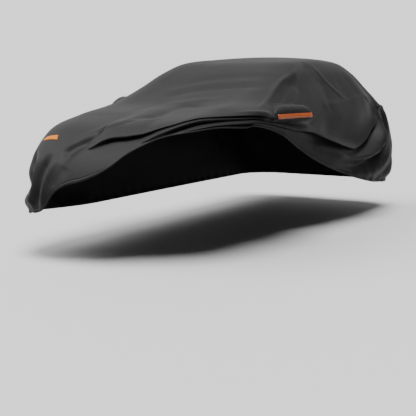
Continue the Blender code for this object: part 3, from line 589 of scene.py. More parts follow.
CREASES = (
    # the right front corner: the pulled fold, and gathers over the hem
    Crease(((0.570, 1.97), (0.500, 2.00), (0.445, 2.06), (0.420, 2.13), (0.385, 2.20), (0.342, 2.26),
            (0.300, 2.33), (0.286, 2.39), (0.300, 2.48)), 0.028, -0.036, 1.6),
    Crease(((0.540, 2.06), (0.480, 2.10), (0.452, 2.17), (0.415, 2.25), (0.372, 2.31), (0.338, 2.39),
            (0.318, 2.48)), 0.030, 0.015),
    Crease(((0.520, 2.00), (0.470, 2.02), (0.430, 2.08)), 0.030, -0.014),
    Crease(((0.470, 1.92), (0.410, 2.02), (0.370, 2.12), (0.320, 2.22)), 0.050, 0.008),
    Crease(((0.200, 2.40), (0.190, 2.50), (0.178, 2.60), (0.172, 2.70), (0.158, 2.80), (0.145, 2.90)),
            0.044, -0.040),
    Crease(((0.262, 2.44), (0.240, 2.54), (0.224, 2.66), (0.214, 2.76), (0.205, 2.88)), 0.036, 0.012),
    Crease(((0.128, 2.42), (0.122, 2.55), (0.112, 2.68), (0.104, 2.82)), 0.030, 0.012),
    Crease(((0.010, 2.34), (0.035, 2.46), (0.050, 2.57), (0.058, 2.66), (0.060, 2.74)), 0.066, -0.052),
    Crease(((-0.080, 2.78), (0.010, 2.77), (0.075, 2.78), (0.130, 2.84)), 0.036, 0.020),
    Crease(((0.120, 2.50), (0.080, 2.53), (0.040, 2.55)), 0.034, -0.010),
    Crease(((-0.260, 2.54), (-0.120, 2.60), (0.010, 2.62), (0.120, 2.60)), 0.085, -0.045),
    Crease(((0.330, 2.50), (0.300, 2.60), (0.270, 2.68)), 0.055, -0.008),
    # slack waves over the two front slopes
    Crease(((0.500, 1.93), (0.559, 1.85), (0.602, 1.76), (0.604, 1.61), (0.596, 1.43), (0.610, 1.31),
            (0.704, 1.36), (0.842, 1.55)), 0.070, -0.020),
    Crease(((0.430, 1.74), (0.420, 1.52), (0.480, 1.26), (0.620, 1.12), (0.780, 1.10)), 0.060, 0.008),
    Crease(((0.300, 1.02), (0.520, 0.86), (0.715, 0.81), (0.856, 0.83), (0.960, 0.86)), 0.055, -0.008),
    Crease(((0.340, 0.70), (0.494, 0.62), (0.672, 0.57), (0.869, 0.60), (0.975, 0.62)), 0.050, -0.006),
    Crease(((0.250, 0.90), (0.480, 0.74), (0.680, 0.70), (0.880, 0.72)), 0.050, 0.005),
    # the left edge of the upper front slope, and the side behind it
    Crease(((1.240, 0.22), (1.150, 0.44), (1.048, 0.63), (1.013, 0.74), (1.007, 0.92), (1.014, 1.20)),
            0.032, 0.010),
    Crease(((1.300, 0.26), (1.230, 0.44), (1.160, 0.62), (1.130, 0.80)), 0.060, -0.008),
    Crease(((1.050, 0.55), (1.028, 0.70), (1.014, 0.90), (1.012, 1.12), (1.022, 1.32), (1.040, 1.52)),
            0.022, 0.010),
    Crease(((1.110, 0.54), (1.084, 0.72), (1.066, 0.92), (1.062, 1.12), (1.072, 1.32), (1.090, 1.54)),
            0.042, -0.018),
    Crease(((0.980, 1.70), (1.030, 1.58), (1.115, 1.44), (1.191, 1.35), (1.260, 1.27), (1.340, 1.20),
            (1.420, 1.16)), 0.022, 0.012),
    Crease(((1.040, 1.72), (1.100, 1.60), (1.180, 1.46), (1.256, 1.365), (1.318, 1.30), (1.380, 1.25),
            (1.460, 1.19)), 0.030, 0.016),
    Crease(((1.340, 0.26), (1.390, 0.35), (1.450, 0.44), (1.510, 0.52), (1.560, 0.59), (1.640, 0.68)),
            0.026, 0.004),
    Crease(((1.380, 0.78), (1.475, 0.72), (1.582, 0.67), (1.704, 0.66), (1.846, 0.72)), 0.040, 0.009),
    Crease(((1.350, 1.08), (1.450, 1.02), (1.560, 0.95), (1.660, 0.92), (1.760, 0.90)), 0.140, 0.012),
    # the slack that hangs at the left rear corner
    Crease(((1.872, 0.98), (1.858, 1.10), (1.826, 1.205), (1.776, 1.262), (1.710, 1.272), (1.640, 1.245),
            (1.560, 1.240), (1.470, 1.270)), 0.085, 0.115),
    Crease(((1.874, 0.96), (1.856, 1.10), (1.826, 1.210), (1.776, 1.268), (1.710, 1.275), (1.640, 1.248),
            (1.560, 1.242), (1.490, 1.260), (1.420, 1.300)), 0.020, 0.012, 1.6),
    Crease(((1.912, 0.92), (1.908, 1.08), (1.886, 1.23), (1.838, 1.335), (1.762, 1.355), (1.680, 1.325),
            (1.600, 1.310)), 0.050, -0.080),
    Crease(((1.876, 0.94), (1.842, 1.050), (1.806, 1.110), (1.770, 1.165), (1.725, 1.215), (1.660, 1.240),
            (1.590, 1.235), (1.500, 1.230)), 0.030, -0.048),
    Crease(((1.340, 1.20), (1.450, 1.09), (1.540, 1.06), (1.640, 1.06), (1.730, 1.03), (1.800, 0.95),
            (1.860, 0.86), (1.900, 0.76)), 0.150, -0.050),
    Crease(((1.300, 1.46), (1.400, 1.42), (1.500, 1.40), (1.600, 1.41), (1.700, 1.48), (1.780, 1.58)),
            0.110, -0.034),
    Crease(((1.975, 1.04), (1.968, 1.20), (1.958, 1.34), (1.940, 1.48)), 0.036, 0.014),
    Crease(((2.014, 0.96), (2.004, 1.06), (1.998, 1.16), (1.996, 1.28), (2.000, 1.40), (2.004, 1.52)),
            0.150, -0.044),
    Crease(((1.890, 0.90), (1.920, 0.925), (1.955, 0.955), (2.000, 0.985)), 0.022, 0.014),
    Crease(((1.640, 1.42), (1.727, 1.455), (1.797, 1.50), (1.858, 1.51), (1.905, 1.46), (1.935, 1.40)),
            0.034, 0.030, 1.6),
    Crease(((1.975, 1.52), (1.940, 1.60), (1.890, 1.64), (1.820, 1.62)), 0.036, -0.022),
    Crease(((1.840, 1.66), (1.920, 1.77), (2.000, 1.86), (2.120, 1.90)), 0.065, -0.045),
    Crease(((1.400, 0.46), (1.430, 0.62), (1.440, 0.80)), 0.080, -0.004),
    # the rear and the right side
    Crease(((2.180, 0.70), (2.240, 0.95), (2.220, 1.25), (2.260, 1.55)), 0.060, 0.014),
    Crease(((2.480, 0.90), (2.500, 1.15), (2.450, 1.45), (2.470, 1.70)), 0.060, -0.012),
    Crease(((2.740, 0.80), (2.700, 1.10), (2.740, 1.40), (2.700, 1.66)), 0.055, 0.014),
    Crease(((2.960, 1.00), (3.020, 1.20), (2.980, 1.45)), 0.060, -0.014),
    Crease(((3.120, 0.90), (3.180, 1.12), (3.150, 1.36)), 0.060, 0.014),
    Crease(((3.300, 1.00), (3.480, 1.08), (3.680, 1.06), (3.820, 1.14)), 0.090, 0.012),
    Crease(((3.360, 0.30), (3.440, 0.50), (3.520, 0.74)), 0.045, -0.007),
    Crease(((3.600, 0.36), (3.560, 0.62), (3.600, 0.84)), 0.050, 0.007),
    Crease(((3.860, 1.30), (3.900, 1.60), (3.930, 1.90), (3.940, 2.10)), 0.055, -0.014),
)


@dataclass(frozen=True)
class Slack:
    """The cloth's slight unevenness between its creases: waves of a length and height."""

    length: float
    height: float
    seed: float

    def lift(self, points: Array) -> Array:
        """How far the waves raise the cloth at points."""
        shifted = points / self.length + self.seed
        return self.height * np.array([noise.noise(Vector(point)) for point in shifted])


SLACK = (Slack(0.42, 0.0038, 3.1), Slack(0.19, 0.0010, 11.7))


@dataclass(frozen=True)
class HemCasing:
    """The hem: a turned-up casing, raised a little by its elastic, with a line of stitches over it."""

    height: float = 0.030
    swell: float = 0.0050
    groove: float = 0.0028
    groove_width: float = 0.0050
    turn: tuple[tuple[float, float], ...] = (
        (-0.0012, -0.0014), (0.0004, -0.0042), (0.006, -0.0068), (0.014, -0.0078), (0.022, -0.0070),
        (0.029, -0.0045),
    )

    def turned(self, down: Array, lift: Array) -> tuple[Array, Array]:
        """The rows that lead around the hem's edge and up inside the cover.

        Args:
            down: metres down the pulled-down cover of the rows so far.
            lift: their heights off it.

        Returns:
            Both with the turned-up rows added.
        """
        above, inward = np.array(self.turn).T
        return (np.concatenate([down, down[:, -1:] - above], axis=1),
                np.concatenate([lift, lift[:, -1:] + inward], axis=1))

    def lift(self, above: Array) -> Array:
        """How far the casing raises the cloth.

        Args:
            above: heights above the hem.

        Returns:
            The casing's height at each.
        """
        share = np.clip(above / self.height, 0.0, 1.0)
        swell = self.swell * np.sqrt(np.clip(4 * share * (1 - share), 0.0, 1.0))
        return swell - self.groove * np.exp(-(((above - self.height) / self.groove_width) ** 2))


@dataclass(frozen=True)
class Gathers:
    """The small pleats that the elastic draws the cloth into where the hem is pulled under."""

    pitch: float = 0.150
    height: float = 0.0070
    reach: float = 0.085
    slack_from: float = 0.300
    wander: float = 0.9
    wander_pace: float = 1.9
    wander_row: tuple[float, float] = (0.4, 2.2)
    strength: float = 0.65
    strength_swing: float = 0.7
    strength_pace: float = 3.1
    strength_row: tuple[float, float] = (5.0, 0.7)

    @staticmethod
    def drift(run: Array, pace: float, row: tuple[float, float]) -> Array:
        """Slow noise along the hem, read at a pace along a row of it."""
        return np.array([noise.noise(Vector((place * pace, *row))) for place in run])

    def lift(self, run: Array, above: Array, raised: Array) -> Array:
        """How far the pleats raise the cloth.

        Args:
            run: metres along the hem, one for each column.
            above: heights above the hem, one row for each column.
            raised: how far the hem is drawn up at each column.

        Returns:
            The pleats' heights, one row for each column.
        """
        wander = self.wander * self.drift(run, self.wander_pace, self.wander_row)
        swing = self.strength_swing * self.drift(run, self.strength_pace, self.strength_row)
        pulled = 1.0 - ease(raised / self.slack_from)
        pleats = np.sin(2 * math.pi * (run / self.pitch + wander)) * (self.strength + swing) * pulled
        return self.height * pleats[:, None] * np.exp(-np.maximum(above, 0.0) / self.reach)


# ---------------------------------------------------------------- the whole cloth as one net


@dataclass
class ClothNet:
    """The fine net of the whole cloth."""

    cover: PulledDown = field(default_factory=PulledDown)
    front_columns: int = 140
    side_columns: int = 190
    casing: HemCasing = field(default_factory=HemCasing)
    seam_fade: float = 0.25
    clear_of_hem: float = 1.0
    waist_row: int = 40
    points: Array = field(init=False)
    flat: Array = field(init=False)
    quads: dict[Panel, list[tuple[int, int, int, int]]] = field(init=False)
    columns: Array = field(init=False)
    count: int = field(init=False)
    rows: int = field(init=False)
    seam_row: int = field(init=False)
    hem_row: int = field(init=False)

    def places(self) -> Array:
        """Places around the cover of all columns."""
        counts = (self.front_columns, self.side_columns, self.front_columns, self.side_columns)
        return np.concatenate([face + np.arange(count) / count for face, count in enumerate(counts)])

    def at(self, column: int, row: int) -> int:
        """The point of a column, counted around without end, and a row."""
        return (column % self.count) * self.rows + row

    def build(self) -> None:
        """Work out the points, their places on the flat cloth, and each panel's quads."""
        around = self.places()
        swag = Swag(self.cover)
        down, lift = swag.rows(around)
        self.hem_row = down.shape[1] - 1
        self.seam_row = swag.seam_steps
        hem_rows = swag.fine_steps()[-1]
        above = np.full(down.shape, self.clear_of_hem)
        above[:, -hem_rows - 1:] = down[:, -1:] - down[:, -hem_rows - 1:]
        lift = lift + self.casing.lift(above)
        hem = self.cover.at(around, down[:, -1:])[0][:, 0]
        lift = lift + Gathers().lift(run_along(hem), down[:, -1:] - down, places(HEM, around)["raised"])
        down, lift = self.casing.turned(down, lift)
        self.count, self.rows = down.shape
        base, normal = self.cover.at(around, down)
        spots = base.reshape(-1, 3)
        raised = sum(crease.lift(self.cover, spots) for crease in CREASES)
        raised = raised + sum(wave.lift(spots) for wave in SLACK)
        below_seam = ease((down - down[:, self.seam_row, None]) / self.seam_fade + 1.0)
        lift = lift + raised.reshape(lift.shape) * below_seam
        net = base + normal * lift[..., None]
        run = run_along(base[:, self.waist_row])
        flat = np.stack([np.repeat(run[:, None], self.rows, axis=1), down], axis=-1)
        self.columns = around
        points, flats = [net.reshape(-1, 3)], [flat.reshape(-1, 2)]
        self.quads = {panel: [] for panel in Panel}
        for column in range(self.count):
            face = int(around[column])
            side = {1: Panel.LEFT, 3: Panel.RIGHT}.get(face, Panel.CENTRE)
            for row in range(self.rows - 1):
                panel = side if row >= self.seam_row else Panel.CENTRE
                self.quads[panel].append((self.at(column, row), self.at(column, row + 1),
                                          self.at(column + 1, row + 1), self.at(column + 1, row)))
        self.quads[Panel.CENTRE] += self.roof(points, flats)
        self.points = np.concatenate(points) - REST
        self.flat = np.concatenate(flats)

    def sample(self, around: Array, down: Array) -> Array:
        """Points of the net.

        Args:
            around: places around the cover.
            down: metres down the cloth, as many.

        Returns:
            A point for each pair.
        """
        edges = np.append(self.columns, FACES)
        column = np.searchsorted(edges, around, side="right") - 1
        share = (around - edges[column]) / (edges[column + 1] - edges[column])
        made = []
        for first, part, place in zip(column, share, down):
            ends = []
            for side in (first, first + 1):
                rows = slice(self.at(side, 0), self.at(side, 0) + self.hem_row + 1)
                ends.append(np.array([np.interp(place, self.flat[rows, 1], values)
                                      for values in self.points[rows].T]))
            made.append(ends[0] * (1 - part) + ends[1] * part)
        return np.array(made)

    def roof(self, points: list[Array], flats: list[Array]) -> list[tuple[int, int, int, int]]:
        """The grid of the roof's middle, inside the columns' first points; its new points are added.

        Args:
            points: the net's points so far.
            flats: their places on the flat cloth.

        Returns:
            The grid's quads.
        """
        wide, long = self.front_columns, self.side_columns
        i, j = np.meshgrid(np.arange(wide + 1), np.arange(long + 1), indexing="ij")
        index = np.zeros(i.shape, int)
        index[:, 0] = self.at(i[:, 0], 0)
        index[-1] = self.at(wide + j[-1], 0)
        index[:, -1] = self.at(2 * wide + long - i[:, -1], 0)
        index[0, 1:] = self.at(-j[0, 1:], 0)
        index[1:-1, 1:-1] = len(points[0]) + np.arange((wide - 1) * (long - 1)).reshape(wide - 1, long - 1)
        border = np.zeros((*i.shape, 2))
        for edge in (index[:, 0], index[:, -1], index[0], index[-1]):
            border[np.isin(index, edge)] = points[0][index[np.isin(index, edge)], :2]
        u, v = (i / wide)[..., None], (j / long)[..., None]
        middle = (border[:, :1] * (1 - v) + border[:, -1:] * v + border[:1] * (1 - u) + border[-1:] * u
                  - (border[0, 0] * (1 - u) + border[-1, 0] * u) * (1 - v)
                  - (border[0, -1] * (1 - u) + border[-1, -1] * u) * v)
        crown = ROOF_CROWN * (16 * u * (1 - u) * v * (1 - v))[..., 0]
        height = RINGS[ROOF_RING].height(middle[..., 1]) + crown
        made = np.concatenate([middle, height[..., None]], axis=-1)[1:-1, 1:-1].reshape(-1, 3)
        points.append(made)
        flats.append(made[:, :2])
        corners = (index[:-1, :-1], index[1:, :-1], index[1:, 1:], index[:-1, 1:])
        return [tuple(quad) for quad in np.stack(corners, axis=-1).reshape(-1, 4).tolist()]


# ---------------------------------------------------------------- shader expressions and finishes


@dataclass(frozen=True)
class Value:
    """A socket of a material's nodes. Expressions on it add the nodes that work them out."""

    nodes: NodeBook
    socket: bpy.types.NodeSocket

    def _with(self, operation: str, other: Value | float | Sequence[float], swapped: bool = False) -> Value:
        """Work an operation out with the node for this socket's kind.

        Args:
            operation: what the node does.
            other: the other value.
            swapped: whether the other value comes first.

        Returns:
            The result.
        """
        pair = [other, self] if swapped else [self, other]
        node = {"VALUE": "ShaderNodeMath", "VECTOR": "ShaderNodeVectorMath"}.get(self.socket.type)
        if node:
            return self.nodes.add(node, {"operation": operation}, {0: pair[0], 1: pair[1]})
        settings = {"data_type": "RGBA", "blend_type": operation}
        return self.nodes.add("ShaderNodeMix", settings, {0: 1.0, 6: pair[0], 7: pair[1]}, 2)

    def __add__(self, other: Value | float) -> Value:
        """Sum."""
        return self._with("ADD", other)

    __radd__ = __add__

    def __sub__(self, other: Value | float) -> Value:
        """Difference."""
        return self._with("SUBTRACT", other)

    def __rsub__(self, other: Value | float) -> Value:
        """Difference from another value."""
        return self._with("SUBTRACT", other, swapped=True)

    def __mul__(self, other: Value | float) -> Value:
        """Product."""
        return self._with("MULTIPLY", other)

    __rmul__ = __mul__

    def above(self, edge: float) -> Value:
        """1 where the value is above an edge, else 0."""
        return self._with("GREATER_THAN", edge)


@dataclass
class NodeBook:
    """The nodes of one material, or of the surroundings."""

    tree: bpy.types.NodeTree

    def add(self, kind: str, settings: dict[str, Any] | None = None,
            inputs: dict[int | str, Any] | None = None, output: int | str = 0) -> Value:
        """Add a node.

        Args:
            kind: the node's type.
            settings: its properties; "stops" gives a ramp's places and colours.
            inputs: the values or links of its sockets, by name or number.
            output: which of its outputs is the result.

        Returns:
            The output as a value.
        """
        node = self.tree.nodes.new(kind)
        for name, value in (settings or {}).items():
            if name == "stops":
                self.fill_ramp(node.color_ramp, value)
            else:
                setattr(node, name, value)
        for key, value in (inputs or {}).items():
            self.feed(node.inputs[key], value)
        return Value(self, node.outputs[output])

    @staticmethod
    def fill_ramp(ramp: bpy.types.ColorRamp, stops: Sequence[tuple[float, Colour]]) -> None:
        """Set a ramp's stops.

        Args:
            ramp: the ramp.
            stops: their places, 0 to 1, and colours.
        """
        while len(ramp.elements) < len(stops):
            ramp.elements.new(0.5)
        for element, (place, colour) in zip(ramp.elements, stops):
            element.position = place
            element.color = (*colour, 1.0)

    def feed(self, socket: bpy.types.NodeSocket, value: Any) -> None:
        """Give a socket a link or a constant.

        Args:
            socket: the socket.
            value: a value of these nodes, or what the socket holds.
        """
        if isinstance(value, Value):
            self.tree.links.new(value.socket, socket)
        elif socket.type == "RGBA":
            socket.default_value = (*value, 1.0)
        else:
            socket.default_value = value

    def mix(self, share: Value | float, low: Value | Colour, high: Value | Colour) -> Value:
        """A colour between two."""
        return self.add("ShaderNodeMix", {"data_type": "RGBA"}, {0: share, 6: low, 7: high}, 2)

    def flat(self) -> Value:
        """Places on the flat cloth, in metres."""
        return self.add("ShaderNodeUVMap", {"uv_map": "flat"})

    def place(self) -> Value:
        """Places on the object, in metres."""
        return self.add("ShaderNodeTexCoord", output="Object")

    def noise(self, where: Value, scale: float, detail: float = 2.0, roughness: float = 0.5) -> Value:
        """Soft noise from 0 to 1."""
        return self.add("ShaderNodeTexNoise", {}, {"Vector": where, "Scale": scale, "Detail": detail,
                                                   "Roughness": roughness})

    def stretched(self, where: Value, scale: tuple[float, float, float]) -> Value:
        """Places scaled along each axis."""
        return self.add("ShaderNodeMapping", {}, {"Vector": where, "Scale": scale})

    def bands(self, where: Value, direction: str, pitch: float) -> Value:
        """Threads across a direction, 0 to 1, with a pitch in metres."""
        return self.add("ShaderNodeTexWave", {"bands_direction": direction},
                        {"Vector": where, "Scale": math.pi / 10 / pitch}, 1)

    def bump(self, height: Value, distance: float, under: Value | None = None) -> Value:
        """A bumped normal.

        Args:
            height: the relief, 0 to 1.
            distance: its height in metres.
            under: a bumped normal that this one lies on.

        Returns:
            The normal.
        """
        inputs = {"Height": height, "Distance": distance, "Strength": 1.0}
        if under is not None:
            inputs["Normal"] = under
        return self.add("ShaderNodeBump", {}, inputs)


def new_material(name: str) -> tuple[bpy.types.Material, NodeBook, bpy.types.Node]:
    """Start a material.

    Args:
        name: the material's name.

    Returns:
        The material, its node book and its Principled shader.
    """
    material = bpy.data.materials.new(name)
    material.use_nodes = True
    return material, NodeBook(material.node_tree), material.node_tree.nodes["Principled BSDF"]


@dataclass(frozen=True)
class CoatedCloth:
    """Matt woven polyester with a thin coating."""

    name: str = "coated_cloth"
    shade: Colour = (0.0052, 0.0052, 0.0054)
    worn: Colour = (0.0072, 0.0072, 0.0074)
    dusty: float = 0.4
    thread: float = 0.0011
    thread_height: float = 0.00010
    grain_height: float = 0.0006
    pucker_height: float = 0.0014
    pucker_stretch: tuple[float, float, float] = (1.0, 1.0, 0.6)
    roughness: float = 0.47
    cloud_rough: float = 0.10
    dust_rough: float = 0.08
    sheen: float = 0.02
    sheen_roughness: float = 0.45
    shine: float = 0.09

    def material(self) -> bpy.types.Material:
        """Make the cloth's material.

        Returns:
            The material.
        """
        material, nodes, shader = new_material(self.name)
        flat, place = nodes.flat(), nodes.place()
        cloud = nodes.noise(place, scale=3.5, detail=4.0, roughness=0.6)
        dust = nodes.noise(place, scale=60.0, detail=5.0, roughness=0.65)
        wear = cloud * (1.0 - self.dusty) + dust * self.dusty
        nodes.feed(shader.inputs["Base Color"], nodes.mix(wear, self.shade, self.worn))
        rough = cloud * self.cloud_rough + dust * self.dust_rough + self.roughness
        nodes.feed(shader.inputs["Roughness"], rough)
        weave = nodes.bands(flat, "X", self.thread) * 0.5 + nodes.bands(flat, "Y", self.thread) * 0.5
        ripple = nodes.noise(nodes.stretched(place, self.pucker_stretch), scale=11.0, detail=3.0)
        puckers = nodes.bump(ripple, self.pucker_height)
        grain = nodes.bump(dust, self.grain_height, puckers)
        nodes.feed(shader.inputs["Normal"], nodes.bump(weave, self.thread_height, grain))
        shader.inputs["Sheen Weight"].default_value = self.sheen
        shader.inputs["Sheen Roughness"].default_value = self.sheen_roughness
        shader.inputs["Specular IOR Level"].default_value = self.shine
        return material


@dataclass(frozen=True)
class ReflectiveTape:
    """Woven orange tape with paler reflective lines along it."""

    name: str = "reflective_tape"
    shade: Colour = (0.20, 0.030, 0.0015)
    line: Colour = (0.32, 0.085, 0.010)
    lines: tuple[float, ...] = (0.33, 0.67)
    line_half: float = 0.055
    shine: float = 0.5
    worn: float = 0.82
    roughness: float = 0.34
    cloud_rough: float = 0.14
    rib: float = 0.0022
    rib_height: float = 0.00015
    ripple_height: float = 0.0010

    def material(self) -> bpy.types.Material:
        """Make the tape's material.

        Returns:
            The material.
        """
        material, nodes, shader = new_material(self.name)
        flat, place = nodes.flat(), nodes.place()
        across = nodes.add("ShaderNodeSeparateXYZ", {}, {"Vector": flat}, "Y")
        share: Value | float = 0.0
        for line in self.lines:
            away = nodes.add("ShaderNodeMath", {"operation": "ABSOLUTE"}, {0: across - line})
            share = share + (1.0 - away.above(self.line_half))
        cloud = nodes.noise(place, scale=40.0, detail=3.0)
        stripes = nodes.mix(share, self.shade, self.line)
        dark = nodes.mix(self.worn, (0.0, 0.0, 0.0), stripes)
        nodes.feed(shader.inputs["Base Color"], nodes.mix(cloud, dark, stripes))
        nodes.feed(shader.inputs["Roughness"], self.roughness + cloud * self.cloud_rough)
        shader.inputs["Specular IOR Level"].default_value = self.shine
        ripple = nodes.bump(cloud, self.ripple_height)
        ribs = nodes.bump(nodes.bands(place, "X", self.rib), self.rib_height, ripple)
        nodes.feed(shader.inputs["Normal"], ribs)
        return material


@dataclass(frozen=True)
class StudioPaper:
    """The plain pale floor."""

    name: str = "studio_paper"
    shade: Colour = (0.30, 0.30, 0.30)
    darker: float = 0.985
    roughness: float = 0.8

    def material(self) -> bpy.types.Material:
        """Make the floor's material.

        Returns:
            The material.
        """
        material, nodes, shader = new_material(self.name)
        cloud = nodes.noise(nodes.place(), scale=1.2)
        dark = tuple(self.darker * part for part in self.shade)
        nodes.feed(shader.inputs["Base Color"], nodes.mix(cloud, dark, self.shade))
        shader.inputs["Roughness"].default_value = self.roughness
        return material


# ---------------------------------------------------------------- meshes


def show(name: str, data: bpy.types.ID) -> bpy.types.Object:
    """Put an object into the scene.

    Args:
        name: the object's name.
        data: its mesh, light or camera.

    Returns:
        The object.
    """
    thing = bpy.data.objects.new(name, data)
    bpy.context.scene.collection.objects.link(thing)
    return thing


def new_piece(name: str, points: Array, faces: Sequence[Sequence[int]], flat: Array,
              material: bpy.types.Material) -> bpy.types.Object:
    """A smooth mesh object with places on the flat cloth as its UV map.

    Args:
        name: the piece's name.
        points: the points that the faces count in; those that no face uses are left out.
        faces: the faces' points.
        flat: for each point, its place on the flat cloth.
        material: the finish.

    Returns:
        The object, linked to the scene.
    """
    used, own = np.unique(np.array(faces), return_inverse=True)
    mesh = bpy.data.meshes.new(name)
    mesh.from_pydata(points[used].tolist(), [], own.reshape(len(faces), -1).tolist())
    layer = mesh.uv_layers.new(name="flat")
    corners = np.zeros(len(mesh.loops), np.int32)
    mesh.loops.foreach_get("vertex_index", corners)
    layer.data.foreach_set("uv", flat[used][corners].astype(np.float32).ravel())
    mesh.shade_smooth()
    mesh.materials.append(material)
    return show(name, mesh)


def add_thickness(piece: bpy.types.Object, thickness: float) -> None:
    """Give a sheet its thickness, half to each side.

    Args:
        piece: the sheet.
        thickness: its thickness.
    """
    solid = piece.modifiers.new("Thickness", "SOLIDIFY")
    solid.thickness = thickness
    solid.offset = 0.0


def face_normals(points: Array, quads: Array) -> Array:
    """Normals of quads, each as long as twice its quad's area."""
    corners = points[quads]
    return np.cross(corners[:, 2] - corners[:, 0], corners[:, 3] - corners[:, 1])


def cloth_area(points: Array, quads: Array) -> float:
    """The area of a net of quads."""
    return float(np.linalg.norm(face_normals(points, quads), axis=1).sum() / 2)


def normals_of(points: Array, quads: Array) -> Array:
    """Unit normals of a net of quads.

    Args:
        points: the net's points.
        quads: their quads.

    Returns:
        A normal for each point.
    """
    face = face_normals(points, quads)
    normal = np.zeros_like(points)
    for corner in range(4):
        np.add.at(normal, quads[:, corner], face)
    length = np.linalg.norm(normal, axis=1, keepdims=True)
    return normal / np.where(length > 0, length, 1.0)


def grid_quads(rows: int, columns: int) -> list[tuple[int, int, int, int]]:
    """The quads of a grid of points whose rows follow each other."""
    return [(i * columns + j, i * columns + j + 1, (i + 1) * columns + j + 1, (i + 1) * columns + j)
            for i in range(rows - 1) for j in range(columns - 1)]


def sewn_on(piece: bpy.types.Object, node: str) -> None:
    """Attach a piece to the root body and hide the CAD node that it stands for.

    Args:
        piece: the piece.
        node: the CAD node that it stands for.
    """
    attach(piece, "root")
    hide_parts(node)


# ---------------------------------------------------------------- the mirror pockets


@dataclass(frozen=True)
class PocketPlace:
    """A place along a pocket: where along the cover, its face from the middle, lower and upper edges."""

    back: float
    face: float
    bottom: float
    top: float


@dataclass(frozen=True)
class PocketLine:
    """A line along a pocket: the stretch of height it lies in, its share of that, and of the way out."""

    stretch: str
    share: float
    out: float


LEFT_POCKET = tuple(PocketPlace(*row) for row in (
    (-0.885, 0.800, 1.100, 1.146), (-0.872, 0.800, 1.099, 1.152), (-0.840, 0.948, 1.096, 1.176),
    (-0.735, 0.972, 1.087, 1.215), (-0.610, 1.004, 1.074, 1.219), (-0.520, 1.036, 1.062, 1.219),
    (-0.460, 1.056, 1.058, 1.219), (-0.425, 1.060, 1.066, 1.213), (-0.385, 0.800, 1.086, 1.180),
    (-0.375, 0.800, 1.090, 1.174),
))
RIGHT_POCKET = tuple(PocketPlace(*row) for row in (
    (-0.742, 0.800, 1.114, 1.172), (-0.730, 0.800, 1.112, 1.178), (-0.680, 0.910, 1.106, 1.218),
    (-0.620, 0.950, 1.102, 1.246), (-0.560, 0.985, 1.098, 1.266), (-0.510, 1.015, 1.096, 1.276),
    (-0.460, 1.046, 1.098, 1.278), (-0.425, 1.052, 1.108, 1.268), (-0.385, 0.800, 1.116, 1.235),
    (-0.373, 0.800, 1.118, 1.230),
))
POCKET_LINES = (
    PocketLine("flange", -1.0, 0.00), PocketLine("under", 0.0, 0.00), PocketLine("under", 0.40, 0.74),
    PocketLine("tape", 0.0, 1.00), PocketLine("tape", 1.0, 0.97), PocketLine("over", 0.34, 0.86),
    PocketLine("over", 0.84, 0.52), PocketLine("over", 1.0, 0.00), PocketLine("flange", 1.0, 0.00),
)


